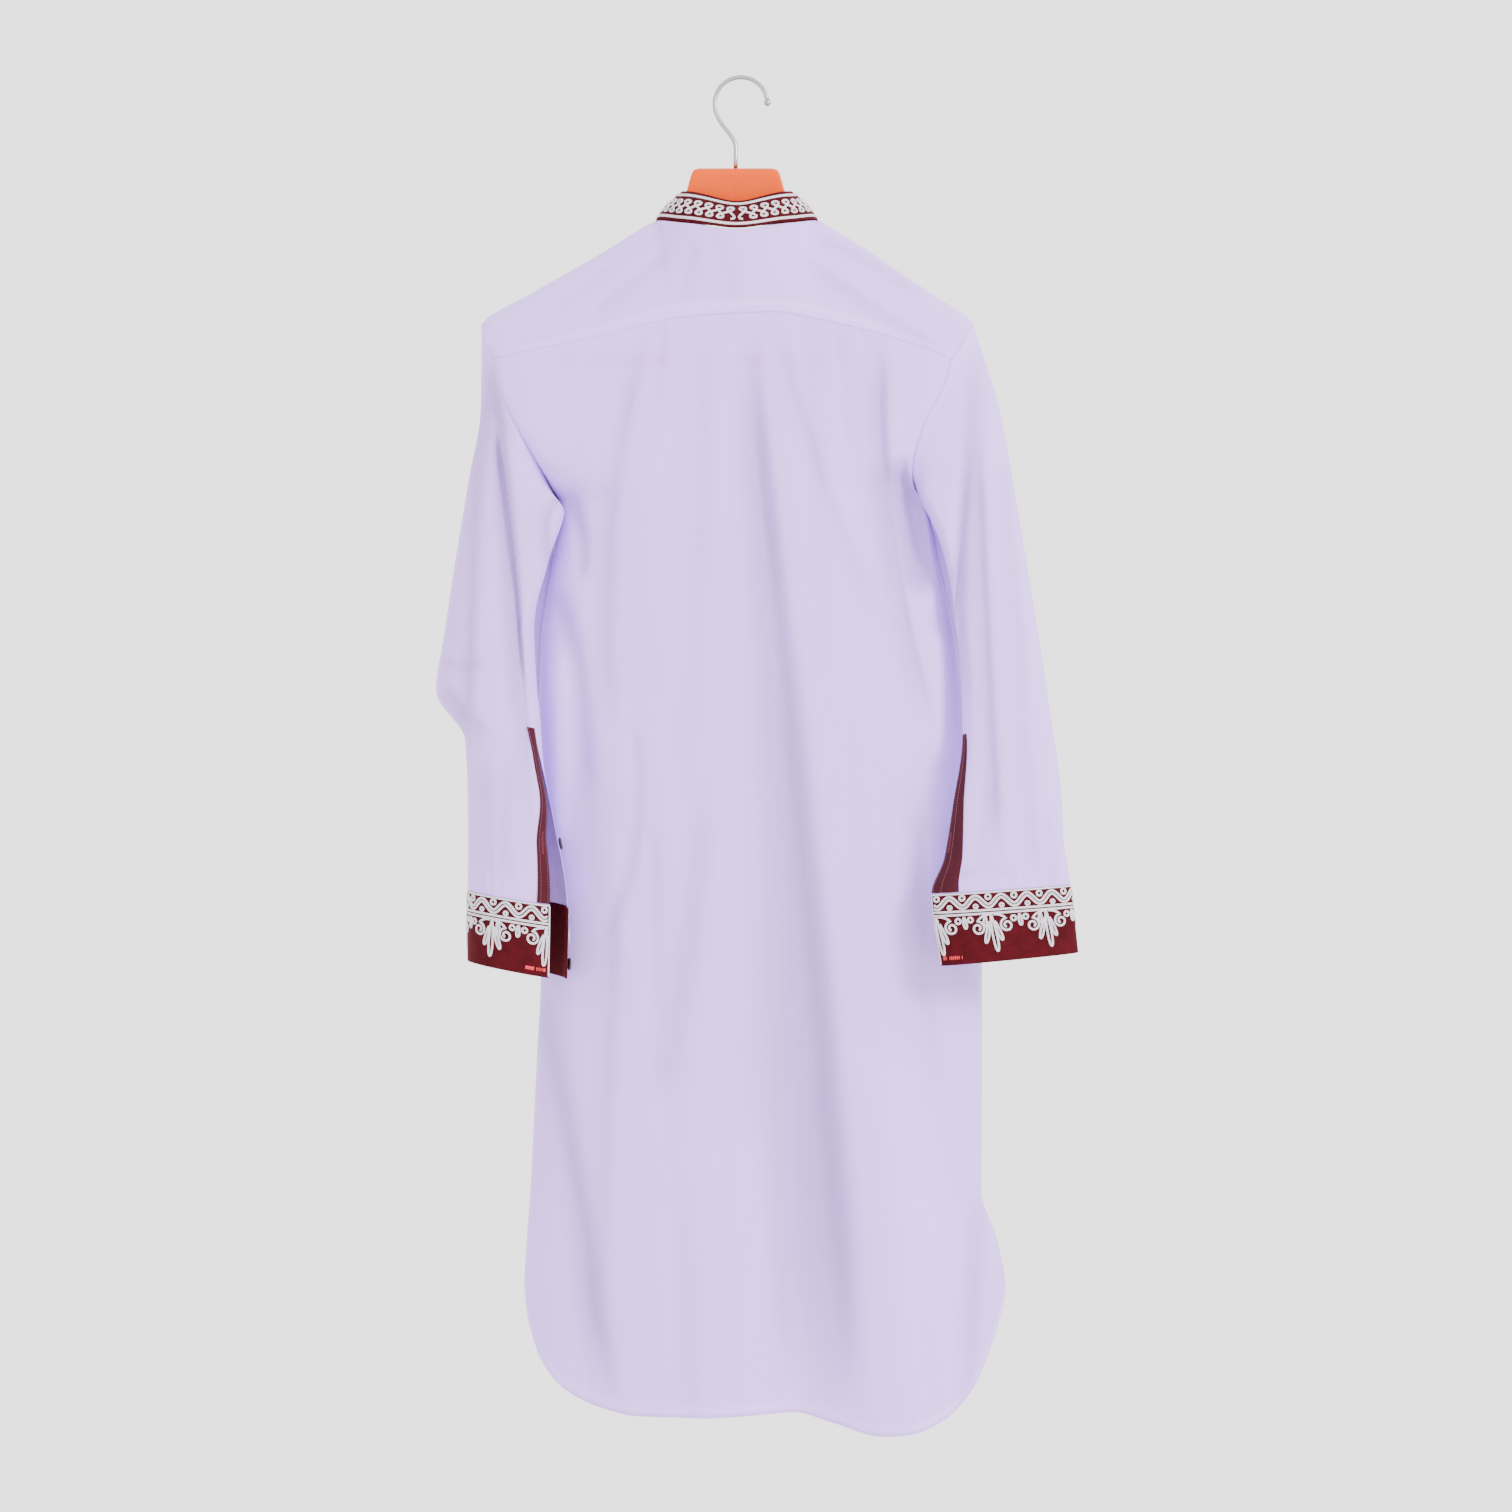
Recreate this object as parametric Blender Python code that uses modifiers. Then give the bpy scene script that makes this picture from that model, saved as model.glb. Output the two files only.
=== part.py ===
"""Long-sleeved kurta hanging on a wide-shouldered clothes hanger with a rail hook.

The origin is the inner top of the hook, where a rail carries it. +Z is up, the
garment's back faces -Y and its left side, seen from behind, is at -X. Every cloth
piece is a thin wall over a grid of points: one direction runs across or round the
piece, the other down it. Sizes are millimetres, turned to metres as a mesh is made.
A "drop" is a distance below the rail.
"""
import functools
import math
from collections import namedtuple

import bmesh
import bpy
import numpy as np
from mathutils import Matrix, Vector

MM = 0.001

# Walls and gaps
CLOTH_WALL = 1.2
STRIP_WALL = 1.2
VELVET_WALL = 2.4
SEAM_GAP = 0.35
BAND_GAP = 0.6
SLEEVE_SEAM_GAP = 1.3
UNDERARM_GAP = 2.6
BRAID_HEIGHT = 1.3

# Hook and hanger
HOOK_RADIUS = 23.2
HOOK_WIRE = 1.9
HOOK_BALL = 3.1
HANGER_X = -4.7
HANGER_HALF = 200.0
BLOCK_DROP = 78.3
ARM_HEIGHT = 22.0
ARM_SWEEP = 6.0
HOOK_HOLE_DEPTH = 34.0
FIT_GAP = 0.3
BAR_DROP = 246.0
BAR_RADIUS = 5.5
BAR_HALF = 168.0
BAR_BEND = 20.0
BAR_SOCKET = 6.0
SOCKET_MARGIN = 20.0
SHOULDER_EASE = 3.2
# Underside of the arms: its drop at the middle, its rise outwards, how far from the end the
# arms round off, and the breadths of its bevelled foot as shares of the arm's half
ARM_FOOT_DROP = 128.0
ARM_FOOT_RISE = 0.02
ARM_END = 12.0
ARM_END_SHRINK = 0.75
FOOT_SHARES = (0.92, 0.7)
FOOT_BEVEL = 2.5

# Neck and collar
NECK_X = -3.6
NECK_HALF = 72.0
NECK_BACK_Y = -42.0
NECK_FRONT_Y = 58.0
NECK_SEAM_ANGLE = 105.0
COLLAR_TOP_HALF = 48.0
COLLAR_TOP_SQUARE = 4.5
NECK_FOOT = 63.0
NECK_STRAP_ANGLE = 75.0
COLLAR_TOP_BACK_Y = -22.0
COLLAR_TOP_FRONT_Y = 68.0
COLLAR_LEAN_OUT = 3.0
COLLAR_FRONT_GAP = 4.0

# Front opening
PLACKET_WIDTH = 30.0
PLACKET_LENGTH = 320.0
PLACKET_COLUMNS = (-0.5, -0.2, 0.2, 0.5)
PLACKET_FIRST_ROW = 0.6
FRONT_BUTTON_ROW = 0.7
FRONT_BUTTONS = 4
BUTTON_RADIUS = 5.5
BUTTON_SIDES = 12
BUTTON_THICK = 2.6

# Front shoulder seam at the armhole: its y, its fall below the ridge and how far in it lies
SEAM_TIP_Y = 28.0
SEAM_TIP_FALL = 25.0
SEAM_TIP_IN = 9.0

# Body
BODY_ROUND = 2.4
NECK_EASE = 70.0
SLEEVE_ROUND = 2.15
ARMHOLE_BLEND = 0.34

Edge = namedtuple("Edge", "drop x depth")
LEFT_EDGE = (
    Edge(247, -215, 32), Edge(282, -207, 35), Edge(308, -195, 36), Edge(335, -180, 31),
    Edge(360, -166, 14), Edge(373, -160, 0.25), Edge(420, -165, 0.25), Edge(500, -176, 0.25),
    Edge(600, -178, 0.25), Edge(792, -176, 0.25), Edge(854, -179, 0.25), Edge(977, -185, 0.25),
    Edge(1021, -188, 3), Edge(1063, -190, 6), Edge(1180, -190, 8),
)
RIGHT_EDGE = (
    Edge(247, 183, 32), Edge(269, 177, 34), Edge(308, 158, 36), Edge(345, 149, 28),
    Edge(362, 153, 12), Edge(370, 162, 0.25), Edge(420, 172, 0.25), Edge(500, 190, 0.25),
    Edge(600, 203, 0.25), Edge(700, 211, 0.25), Edge(854, 212, 0.25), Edge(977, 211, 0.25),
    Edge(1021, 225, 3), Edge(1063, 232, 6), Edge(1180, 232, 8),
)
LEFT_UNDERARM = 373.0
RIGHT_UNDERARM = 370.0

Depth = namedtuple("Depth", "drop back front")
BODY_DEPTH = (
    Depth(205, 46, 50), Depth(250, 47, 50), Depth(300, 49, 52), Depth(400, 60, 58),
    Depth(600, 66, 60), Depth(800, 64, 58), Depth(1000, 62, 56), Depth(1180, 60, 54),
)

Point = namedtuple("Point", "x drop")
YOKE_SEAM = (
    Point(-215, 248), Point(-124, 230), Point(-53, 214), Point(-8, 210.5), Point(30, 209),
    Point(60, 214), Point(113, 225.5), Point(158, 239), Point(183, 248),
)
SHOULDER_LINE = (
    Point(-227, 217), Point(-222, 211), Point(-212, 204.5), Point(-194, 195),
    Point(-159, 175), Point(-124, 154.5), Point(-78, 126), Point(-40, 106), Point(35, 106),
    Point(67, 124), Point(105, 147), Point(140, 171), Point(171, 192),
    Point(188, 203), Point(198, 210), Point(203, 216),
)
HEM = (
    Point(-190, 1060), Point(-185, 1090), Point(-171, 1125), Point(-149, 1147),
    Point(-118, 1160), Point(-89, 1165.5), Point(-41, 1166), Point(44, 1161), Point(80, 1171),
    Point(121, 1181), Point(148, 1179), Point(179, 1167), Point(200, 1147),
    Point(219, 1106), Point(232, 1065),
)

Ring = namedtuple("Ring", "angle neck_drop top_drop")
NECK_DROPS = (
    Ring(-50, 131, 101), Ring(0, 138, 111), Ring(50, 131, 101), Ring(85, 125, 97), Ring(105, 136, 102),
    Ring(140, 168, 136), Ring(180, 187, 160),
)

Arm = namedtuple("Arm", "reach half_thick")
ARM_THICKNESS = (
    Arm(0, 8), Arm(60, 8), Arm(75, 8.5), Arm(120, 11), Arm(160, 16), Arm(185, 19), Arm(240, 19),
)
Block = namedtuple("Block", "reach drop")
BLOCK_OUTLINE = (
    Block(0, 78.3), Block(33, 78.4), Block(36.5, 79.6), Block(38.6, 82.6), Block(40.3, 88),
    Block(43.5, 99), Block(48, 108.5),
)

Sleeve = namedtuple("Sleeve", "outer_x outer_drop outer_y inner_x inner_drop inner_y half_depth")
LEFT_SLEEVE = (
    Sleeve(-227, 218, -2, -160, 373, 0, 34),
    Sleeve(-228, 290, -4, -168, 400, -12, 36),
    Sleeve(-238, 352, -10, -173, 430, -20, 36),
    Sleeve(-249, 425, -22, -181, 465, -30, 34),
    Sleeve(-258, 492, -34, -178, 525, -42, 34),
    Sleeve(-264, 538, -42, -174, 562, -50, 35),
    Sleeve(-238, 582, -50, -171, 600, -56, 35),
    Sleeve(-235, 640, -58, -161, 652, -62, 35),
    Sleeve(-234, 712, -66, -149, 726, -68, 36),
    Sleeve(-234, 771, -68, -150, 787, -70, 36),
)
RIGHT_SLEEVE = (
    Sleeve(203, 215, -2, 162, 370, 0, 34),
    Sleeve(227, 292, -4, 174, 398, -10, 34),
    Sleeve(240, 366, -12, 181, 428, -20, 31),
    Sleeve(250, 430, -22, 188, 466, -32, 29),
    Sleeve(260, 500, -36, 191, 522, -46, 27),
    Sleeve(268, 560, -48, 192, 578, -56, 25),
    Sleeve(276, 624, -59, 183, 638, -66, 22),
    Sleeve(278, 670, -66, 175, 684, -72, 19),
    Sleeve(283, 707, -71, 164, 715, -76, 17),
    Sleeve(289, 764, -74, 172, 775, -79, 17),
)
# Angle round the sleeve of each slit's near edge, and how far the slit is open there. The
# first row lies above the slit, whose top is the second one, and the last at the cuff's edge
Slit = namedtuple("Slit", "drop near_angle opening")
LEFT_SLIT = (
    Slit(380, 147.3, 0), Slit(562, 152, 0), Slit(617, 158, 24), Slit(668, 138, 44),
    Slit(726, 131, 51), Slit(787, 131, 51),
)
RIGHT_SLIT = (
    Slit(380, 163.6, 0), Slit(568, 172, 0), Slit(640, 172, 12), Slit(715, 172, 16),
    Slit(775, 172, 16),
)
# How far from the open edge each side's buttons sit: columns of the sleeve and of the cuff
ButtonColumns = namedtuple("ButtonColumns", "sleeve cuff")
LEFT_BUTTONS = ButtonColumns(1.6, 2.1)
RIGHT_BUTTONS = ButtonColumns(2.6, 3.1)
# Rows of those buttons: up from the sleeve's last row, and down from the cuff's first
SLIT_BUTTON_ROW = 3.4
CUFF_BUTTON_ROW = 5.6
# Shares of the sleeve's length at its first row and in the gap above the cuff, and the power
# that crowds its rows towards the armhole
SLEEVE_START = 0.003
CUFF_GAP = 0.0014
SLEEVE_CROWDING = 1.15
# Columns of the sleeve's grid under the placket band of its slit, from edge to edge
BAND_COLUMNS = (0.04, 0.5, 0.98)

Crease = namedtuple("Crease", "x0 drop0 x1 drop1 x2 drop2 width0 width1 depth0 depth1")
BACK_CREASES = (
    Crease(-80, 215, -116, 400, -112, 590, 9, 12, 5, 3),
    Crease(0, 205, 42, 625, 96, 1240, 9, 30, 6, 24),
    Crease(25, 205, 72, 368, 128, 500, 9, 9, 4, 2),
    Crease(122, 220, 129, 400, 170, 590, 11, 10, 8, 5),
    Crease(136, 330, 150, 400, 158, 462, 17, 15, 16, 10),
    Crease(172, 480, 174, 540, 172, 610, 11, 12, -7, -7),
    Crease(-166, 440, -142, 522, -134, 650, 9, 10, 6, 4),
    Crease(-160, 490, -162, 590, -160, 690, 12, 13, -6, -5),
    Crease(-174, 780, -147, 940, -112, 1180, 10, 13, 6, 10),
    Crease(-34, 600, -53, 785, -80, 900, 12, 14, 3, 4),
    Crease(208, 960, 197, 1090, 186, 1220, 9, 12, 5, 8),
    Crease(110, 820, 135, 1010, 150, 1260, 34, 48, -6, -20),
    Crease(-20, 900, -10, 1050, -5, 1250, 40, 45, -3, -9),
)
FRONT_CREASES = (
    Crease(-96, 210, -110, 420, -100, 720, 10, 14, 6, 4),
    Crease(72, 200, 96, 430, 118, 760, 10, 16, 7, 5),
    Crease(-60, 560, -76, 860, -92, 1240, 12, 26, 4, 16),
    Crease(52, 620, 66, 900, 84, 1240, 12, 24, 4, 14),
    Crease(150, 760, 158, 960, 165, 1240, 12, 18, 4, 10),
)
YOKE_CREASES = (
    Crease(50, 158, 116, 206, 186, 252, 6, 7, 3.2, 2.4),
    Crease(-56, 146, -108, 192, -128, 212, 7, 7, 2.2, 1.4),
    Crease(-22, 138, -14, 172, -6, 206, 8, 8, 1.6, 1.2),
)
LEFT_SLEEVE_CREASES = (
    Crease(-218, 262, -200, 430, -178, 690, 9, 8, 8, 6),
    Crease(-220, 290, -232, 470, -234, 660, 8, 8, 4, 5),
)
RIGHT_SLEEVE_CREASES = (
    Crease(206, 232, 200, 400, 192, 580, 9, 9, 7, 4),
    Crease(208, 300, 214, 520, 224, 700, 9, 10, 5, 5),
)
SLEEVE_FRONT_CREASES = (
    Crease(-214, 280, -212, 450, -206, 690, 11, 10, 6, 4),
    Crease(216, 280, 226, 460, 232, 680, 11, 10, 6, 4),
)
CREASE_STEPS = 10
# Creases fade out towards a piece's edges: in shares of the body's width, in millimetres
# below the yoke and below the front's top, in yoke rows and in shares of a sleeve's length
EDGE_FADE = 0.05
SEAM_FADE = 25.0
NECK_FADE = 40.0
YOKE_FADE_ROWS = 1.5
SLEEVE_TOP_FADE = 0.06
SLEEVE_END_FADE = 0.05

# Grid sizes: points across or round each piece, and down it
BACK_GRID = (29, 28)
FRONT_GRID = (23, 21)
# Yoke: columns of a shoulder and of the neck between them, rows of the back and of a strap
YOKE_GRID = (13, 11, 5, 6)
SLEEVE_GRID = (23, 23)
COLLAR_GRID = (49, 7)
CUFF_GRID = (33, 8)
# Rows stand closer together near the shoulders: a share is raised to this power
CROWDING = 1.4


# Curves and surfaces

def through(knots, values, at):
    """Smooth curve through the knots that never overshoots them.

    Between two knots it is the cubic whose slopes are the harmonic means of the
    slopes on either side, or level where those turn.
    """
    knots = np.asarray(knots, float)
    values = np.asarray(values, float)
    at = np.clip(at, knots[0], knots[-1])
    step = np.diff(knots)
    slope = np.diff(values) / step
    product = slope[:-1] * slope[1:]
    total = slope[:-1] + slope[1:]
    inner = np.where(product > 0, 2 * product / np.where(total == 0, 1, total), 0)
    slopes = np.concatenate([slope[:1], inner, slope[-1:]])
    i = np.clip(np.searchsorted(knots, at, side="right") - 1, 0, len(knots) - 2)
    f = (at - knots[i]) / step[i]
    start = values[i] * (1 + 2 * f) * (1 - f) ** 2 + step[i] * slopes[i] * f * (1 - f) ** 2
    end = values[i + 1] * f ** 2 * (3 - 2 * f) + step[i] * slopes[i + 1] * f ** 2 * (f - 1)
    return start + end


def columns(table):
    """The columns of a table, each as an array."""
    return np.array(table, float).T


def ease(value):
    """0 below 0, 1 above 1, and a smooth step between."""
    value = np.clip(value, 0.0, 1.0)
    return value * value * (3 - 2 * value)


def points(x, y, z):
    """Grid of points from three arrays of one shape."""
    return np.stack(np.broadcast_arrays(x, y, z), axis=-1).astype(float)


def relief(x, drop, creases):
    """Depth of all creases at a place on the cloth, seen flat from behind or in front.

    Each crease is a trough along a curve through three places: its depth falls off
    as a bell curve of the distance from it, and fades at both ends.
    """
    total = np.zeros(np.broadcast(x, drop).shape)
    t = np.linspace(0, 1, CREASE_STEPS + 1)
    first, middle, last = (1 - t) * (1 - 2 * t), 4 * t * (1 - t), t * (2 * t - 1)
    for c in creases:
        path_x = first * c.x0 + middle * c.x1 + last * c.x2
        path_d = first * c.drop0 + middle * c.drop1 + last * c.drop2
        nearest = np.full(total.shape, np.inf)
        along = np.zeros(total.shape)
        for i in range(CREASE_STEPS):
            run_x = path_x[i + 1] - path_x[i]
            run_d = path_d[i + 1] - path_d[i]
            f = ((x - path_x[i]) * run_x + (drop - path_d[i]) * run_d) / (run_x ** 2 + run_d ** 2)
            f = np.clip(f, 0, 1)
            distance = np.hypot(x - path_x[i] - f * run_x, drop - path_d[i] - f * run_d)
            along = np.where(distance < nearest, (i + f) / CREASE_STEPS, along)
            nearest = np.minimum(distance, nearest)
        width = c.width0 + (c.width1 - c.width0) * along
        depth = c.depth0 + (c.depth1 - c.depth0) * along
        total += depth * ease(np.minimum(along, 1 - along) / 0.2) * np.exp(-(nearest / width) ** 2)
    return total


def normals(grid):
    """Unit normals of a grid, from the run of its rows and columns."""
    down = np.gradient(grid, axis=0)
    across = np.gradient(grid, axis=1)
    normal = np.cross(down, across)
    return normal / np.linalg.norm(normal, axis=-1, keepdims=True)


# Body of the kurta

def section(across, drop, side):
    """Half of the body's section: side -1 is the back and 1 the front.

    `across` runs from -1 at the left edge to 1 at the right one. The half is a
    rounded arch from edge to edge, as deep as the body is there.
    """
    drops, xs, rims = columns(LEFT_EDGE)
    left_x, left_rim = through(drops, xs, drop), through(drops, rims, drop)
    drops, xs, rims = columns(RIGHT_EDGE)
    right_x, right_rim = through(drops, xs, drop), through(drops, rims, drop)
    share = (1 + across) / 2
    rim = left_rim + (right_rim - left_rim) * share
    levels, back, front = columns(BODY_DEPTH)
    depth = through(levels, back if side < 0 else front, drop)
    arch = (1 - np.abs(across) ** BODY_ROUND) ** (1 / BODY_ROUND)
    return points(left_x + (right_x - left_x) * share, side * (rim + (depth - rim) * arch), -drop)


def seam_drop(across):
    """Drop of the curved yoke seam at a share across the body."""
    seam_x, drops = columns(YOKE_SEAM)
    x = seam_x[0] + (seam_x[-1] - seam_x[0]) * (1 + across) / 2
    return through(seam_x, drops, x)


def hem_drop(across):
    """Drop of the rounded shirt-tail hem at a share across the body."""
    hem_x, drops = columns(HEM)
    x = hem_x[0] + (hem_x[-1] - hem_x[0]) * (1 + across) / 2
    return through(hem_x, drops, x)


def spread(count):
    """Shares across a panel, closer together at its edges: the sine of an even run."""
    return np.sin(np.linspace(-1, 1, count) * math.pi / 2)


def back_panel_points(columns_across, rows):
    """Back panel: the section from the yoke seam down to the hem, with its creases."""
    across = spread(columns_across)[None, :]
    down = np.linspace(0, 1, rows)[:, None] ** CROWDING
    top = seam_drop(across) + SEAM_GAP
    drop = top + (hem_drop(across) - top) * down
    grid = section(across, drop, -1)
    fade = ease((1 - np.abs(across)) / EDGE_FADE) * ease((drop - top) / SEAM_FADE)
    grid[..., 1] += fade * relief(grid[..., 0], drop, BACK_CREASES)
    return grid


def neck_loop(angle, half_x, back_y, front_y, drops, power):
    """Loop round the neck at an angle in degrees from its back centre.

    Seen from above it is the curve where the powers of x and y over their halves
    add up to one: an ellipse at power 2, squarer above it.
    """
    turn = np.radians(angle)
    half_y = (front_y - back_y) / 2
    total = np.abs(np.sin(turn) / half_x) ** power + np.abs(np.cos(turn) / half_y) ** power
    reach = total ** (-1 / power)
    drop = through(columns(NECK_DROPS)[0], drops, np.abs(angle))
    return points(NECK_X + reach * np.sin(turn), (back_y + front_y) / 2 - reach * np.cos(turn), -drop)


def neck_ring(angle):
    """Neck seam: an ellipse that dips in front."""
    return neck_loop(angle, NECK_HALF, NECK_BACK_Y, NECK_FRONT_Y, columns(NECK_DROPS)[1], 2)


def collar_ring(angle):
    """Top edge of the collar: squarer, as it bends round the hanger's neck block."""
    drops = columns(NECK_DROPS)[2]
    return neck_loop(
        angle, COLLAR_TOP_HALF, COLLAR_TOP_BACK_Y, COLLAR_TOP_FRONT_Y, drops, COLLAR_TOP_SQUARE,
    )


def ridge_drop(x):
    """Drop of the shoulder line, the top of the cloth over the hanger's arms."""
    xs, drops = columns(SHOULDER_LINE)
    return through(xs, drops, x)


def arm_half(x):
    """Half the thickness of the hanger's arm at x."""
    reach, half = columns(ARM_THICKNESS)
    return through(reach, half, np.abs(x - HANGER_X))


def arm_y(x):
    """Middle of the hanger's arm, which sweeps back towards its ends."""
    return -ARM_SWEEP * ((x - HANGER_X) / HANGER_HALF) ** 2


def neck_corner():
    """Where the shoulder seam meets the neck, on the right."""
    return neck_ring(np.array([NECK_SEAM_ANGLE]))[0]


def seam_x_at(across):
    """x along the yoke seam's ends at a share across the body."""
    seam_x, _ = columns(YOKE_SEAM)
    return seam_x[0] + (seam_x[-1] - seam_x[0]) * (1 + across) / 2


def across_at(x):
    """Share across the body whose column starts at x on the yoke seam."""
    seam_x, _ = columns(YOKE_SEAM)
    return 2 * (x - seam_x[0]) / (seam_x[-1] - seam_x[0]) - 1


def shoulder(across):
    """Shoulder columns outside the neck: x over the ridge, and the seam in front of it."""
    x = seam_x_at(across)
    side = np.sign(x - NECK_X)
    line_x, _ = columns(SHOULDER_LINE)
    tip_x = np.where(side < 0, seam_x_at(-1), seam_x_at(1))
    foot = NECK_X + side * NECK_FOOT
    out = np.clip((x - foot) / (tip_x - foot), 0, 1)
    corner = neck_corner()
    near = NECK_X + side * NECK_HALF
    ridge_x = near + (np.where(side < 0, line_x[0], line_x[-1]) - near) * out
    corner_fall = -corner[2] - ridge_drop(near)
    inset = NECK_HALF - (corner[0] - NECK_X)
    seam = points(
        ridge_x - side * (inset + (SEAM_TIP_IN - inset) * out),
        corner[1] + (SEAM_TIP_Y - corner[1]) * out + arm_y(ridge_x) - arm_y(near),
        -(ridge_drop(ridge_x) + corner_fall + (SEAM_TIP_FALL - corner_fall) * out),
    )
    return ridge_x, seam


def over_arm(start, end, ridge_x, back_rows, strap_rows):
    """Cloth pulled taut from start to end over the round top of the hanger's arm.

    It is a straight line to where it meets a circle round the arm, the circle's
    arc, and a straight line on. The back rows lie before the arc, the strap's after.
    """
    radius = arm_half(ridge_x) + SHOULDER_EASE
    centre_y = arm_y(ridge_x)
    centre_z = -ridge_drop(ridge_x) - radius
    ends = []
    for point in (start, end):
        y, z = point[..., 1] - centre_y, point[..., 2] - centre_z
        distance = np.maximum(np.hypot(y, z), radius + 0.01)
        run = np.sqrt(distance ** 2 - radius ** 2)
        ends.append((np.arctan2(y, z), np.arccos(radius / distance), run))
    (angle_0, turn_0, run_0), (angle_1, turn_1, run_1) = ends
    first, last = angle_0 + turn_0, angle_1 - turn_1
    arc = radius * np.maximum(last - first, 0)
    before_rows = np.linspace(0, 1, back_rows)[:, None] * run_0
    after_rows = run_0 + np.linspace(0, 1, strap_rows + 1)[1:, None] * (arc + run_1)
    gone = np.concatenate([before_rows, after_rows])
    angle = first + np.clip(gone - run_0, 0, arc) / radius
    before = np.clip(run_0 - gone, 0, None)
    after = np.clip(gone - run_0 - arc, 0, None)
    y = centre_y + radius * np.sin(angle) - before * np.cos(first) + after * np.cos(last)
    z = centre_z + radius * np.cos(angle) + before * np.sin(first) - after * np.sin(last)
    top = run_0 - radius * first
    rise = np.sin(np.clip(gone / top, 0, 1) * math.pi / 2)
    fall = 1 - np.cos(np.clip((gone - top) / (run_0 + arc + run_1 - top), 0, 1) * math.pi / 2)
    x = start[..., 0] + (ridge_x - start[..., 0]) * rise + (end[..., 0] - ridge_x) * fall
    return points(x, y, z)


def yoke_points(shoulder_columns, neck_columns, back_rows, strap_rows):
    """Yoke: a back part up to the neck, and a strap over each shoulder.

    Both are one grid, whose strap rows are used only outside the neck. The straps'
    inner columns follow the neck ring over the arms.
    """
    foot_left, foot_right = across_at(NECK_X - NECK_FOOT), across_at(NECK_X + NECK_FOOT)
    crowd = 1 - np.cos(np.linspace(0, 1, shoulder_columns) * math.pi / 2)
    left = -1 + (foot_left + 1) * crowd
    right = 1 - (1 - foot_right) * crowd
    middle = np.linspace(foot_left, foot_right, neck_columns + 2)[1:-1]
    across = np.concatenate([left, middle, right[::-1]])[None, :]
    start = section(across, seam_drop(across) - SEAM_GAP, -1)
    ridge_x, end = shoulder(across)
    grid = over_arm(start, end, ridge_x, back_rows, strap_rows)
    neck = slice(shoulder_columns - 1, len(left) + len(middle) + 1)
    angle = (seam_x_at(across[0, neck]) - NECK_X) / NECK_FOOT * NECK_STRAP_ANGLE
    up = np.linspace(0, 1, back_rows)[:, None, None]
    grid[:back_rows, neck] = start[:, neck] + (neck_ring(angle) - start[:, neck]) * up
    around = np.linspace(NECK_STRAP_ANGLE, NECK_SEAM_ANGLE, strap_rows + 1)
    grid[back_rows - 1:, shoulder_columns - 1] = neck_ring(-around)
    grid[back_rows - 1:, -shoulder_columns] = neck_ring(around)
    row = np.arange(len(grid))[:, None]
    ends = ease(row / YOKE_FADE_ROWS) * ease((back_rows - 1 - row) / YOKE_FADE_ROWS)
    fade = ends * ease((1 - np.abs(across)) / EDGE_FADE)
    grid[..., 1] += fade * relief(grid[..., 0], -grid[..., 2], YOKE_CREASES)
    return grid


def yoke_faces(shoulder_columns, neck_columns, back_rows, strap_rows):
    """Which quads of the yoke's grid are cloth: all in the back part, only the straps above."""
    kept = np.ones((back_rows + strap_rows - 1, 2 * shoulder_columns + neck_columns - 1), bool)
    kept[back_rows - 1:, shoulder_columns - 1:shoulder_columns + neck_columns] = False
    return kept


def front_tops(across):
    """Top edge of the front panel: both shoulder seams and the front of the neck ring."""
    _, seam = shoulder(across)
    side = np.clip((seam_x_at(across) - NECK_X) / NECK_FOOT, -1, 1)
    half_y = (NECK_FRONT_Y - NECK_BACK_Y) / 2
    reach = (neck_corner()[0] - NECK_X) / NECK_HALF
    slope = np.tan(np.arcsin(np.abs(side) * reach))
    angle = np.sign(side) * (180 - np.degrees(np.arctan2(slope * NECK_HALF, half_y)))
    return np.where((np.abs(side) < 1)[..., None], neck_ring(angle), seam)


def front_surface(across, drop):
    """Front of the body: from its top edge it eases into the section within a hand's breadth."""
    top = front_tops(across)
    share = ease((drop + top[..., 2]) / NECK_EASE)[..., None]
    grid = section(across, drop, 1)
    fade = ease((1 - np.abs(across)) / EDGE_FADE) * ease((drop + top[..., 2]) / NECK_FADE)
    grid[..., 1] -= fade * relief(grid[..., 0], drop, FRONT_CREASES)
    fixed = points(top[..., 0], top[..., 1], -drop)
    return fixed + (grid - fixed) * share


def front_panel_points(columns_across, rows):
    """Front panel from the shoulder seams and neck down to the same rounded hem."""
    across = spread(columns_across)[None, :]
    down = np.linspace(0, 1, rows)[:, None] ** CROWDING
    top = -front_tops(across)[..., 2] + 2 * SEAM_GAP
    drop = top + (hem_drop(across) - top) * down
    return front_surface(across, drop)


# Sleeves

def resample(path, shares):
    """Points at shares of a path's length."""
    steps = np.linalg.norm(np.diff(path, axis=0), axis=1)
    run = np.concatenate([[0], np.cumsum(steps)])
    return np.stack([np.interp(shares * run[-1], run, path[:, k]) for k in range(3)], axis=-1)


@functools.lru_cache(maxsize=None)
def armhole_paths(side):
    """Edges that the sleeve is sewn to, from the shoulder's tip to the underarm.

    The first path runs behind, down the yoke and the back panel, and the second in
    front, down the yoke and the front panel.
    """
    column = 0 if side < 0 else -1
    strap = yoke_points(*YOKE_GRID)[:, column]
    back = back_panel_points(*BACK_GRID)[:, column]
    front = front_panel_points(*FRONT_GRID)[:, column]
    underarm = -LEFT_UNDERARM if side < 0 else -RIGHT_UNDERARM
    tip = int(np.argmin(np.abs(strap[:, 1] - arm_y(strap[:, 0]))))
    paths = []
    for straps, edge in ((strap[tip::-1], back), (strap[tip:], front)):
        upper = edge[edge[:, 2] > underarm + 2]
        x = np.interp(-underarm, -edge[:, 2], edge[:, 0])
        paths.append(np.concatenate([straps, upper, [[x, 0, underarm]]]))
    return paths


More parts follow.
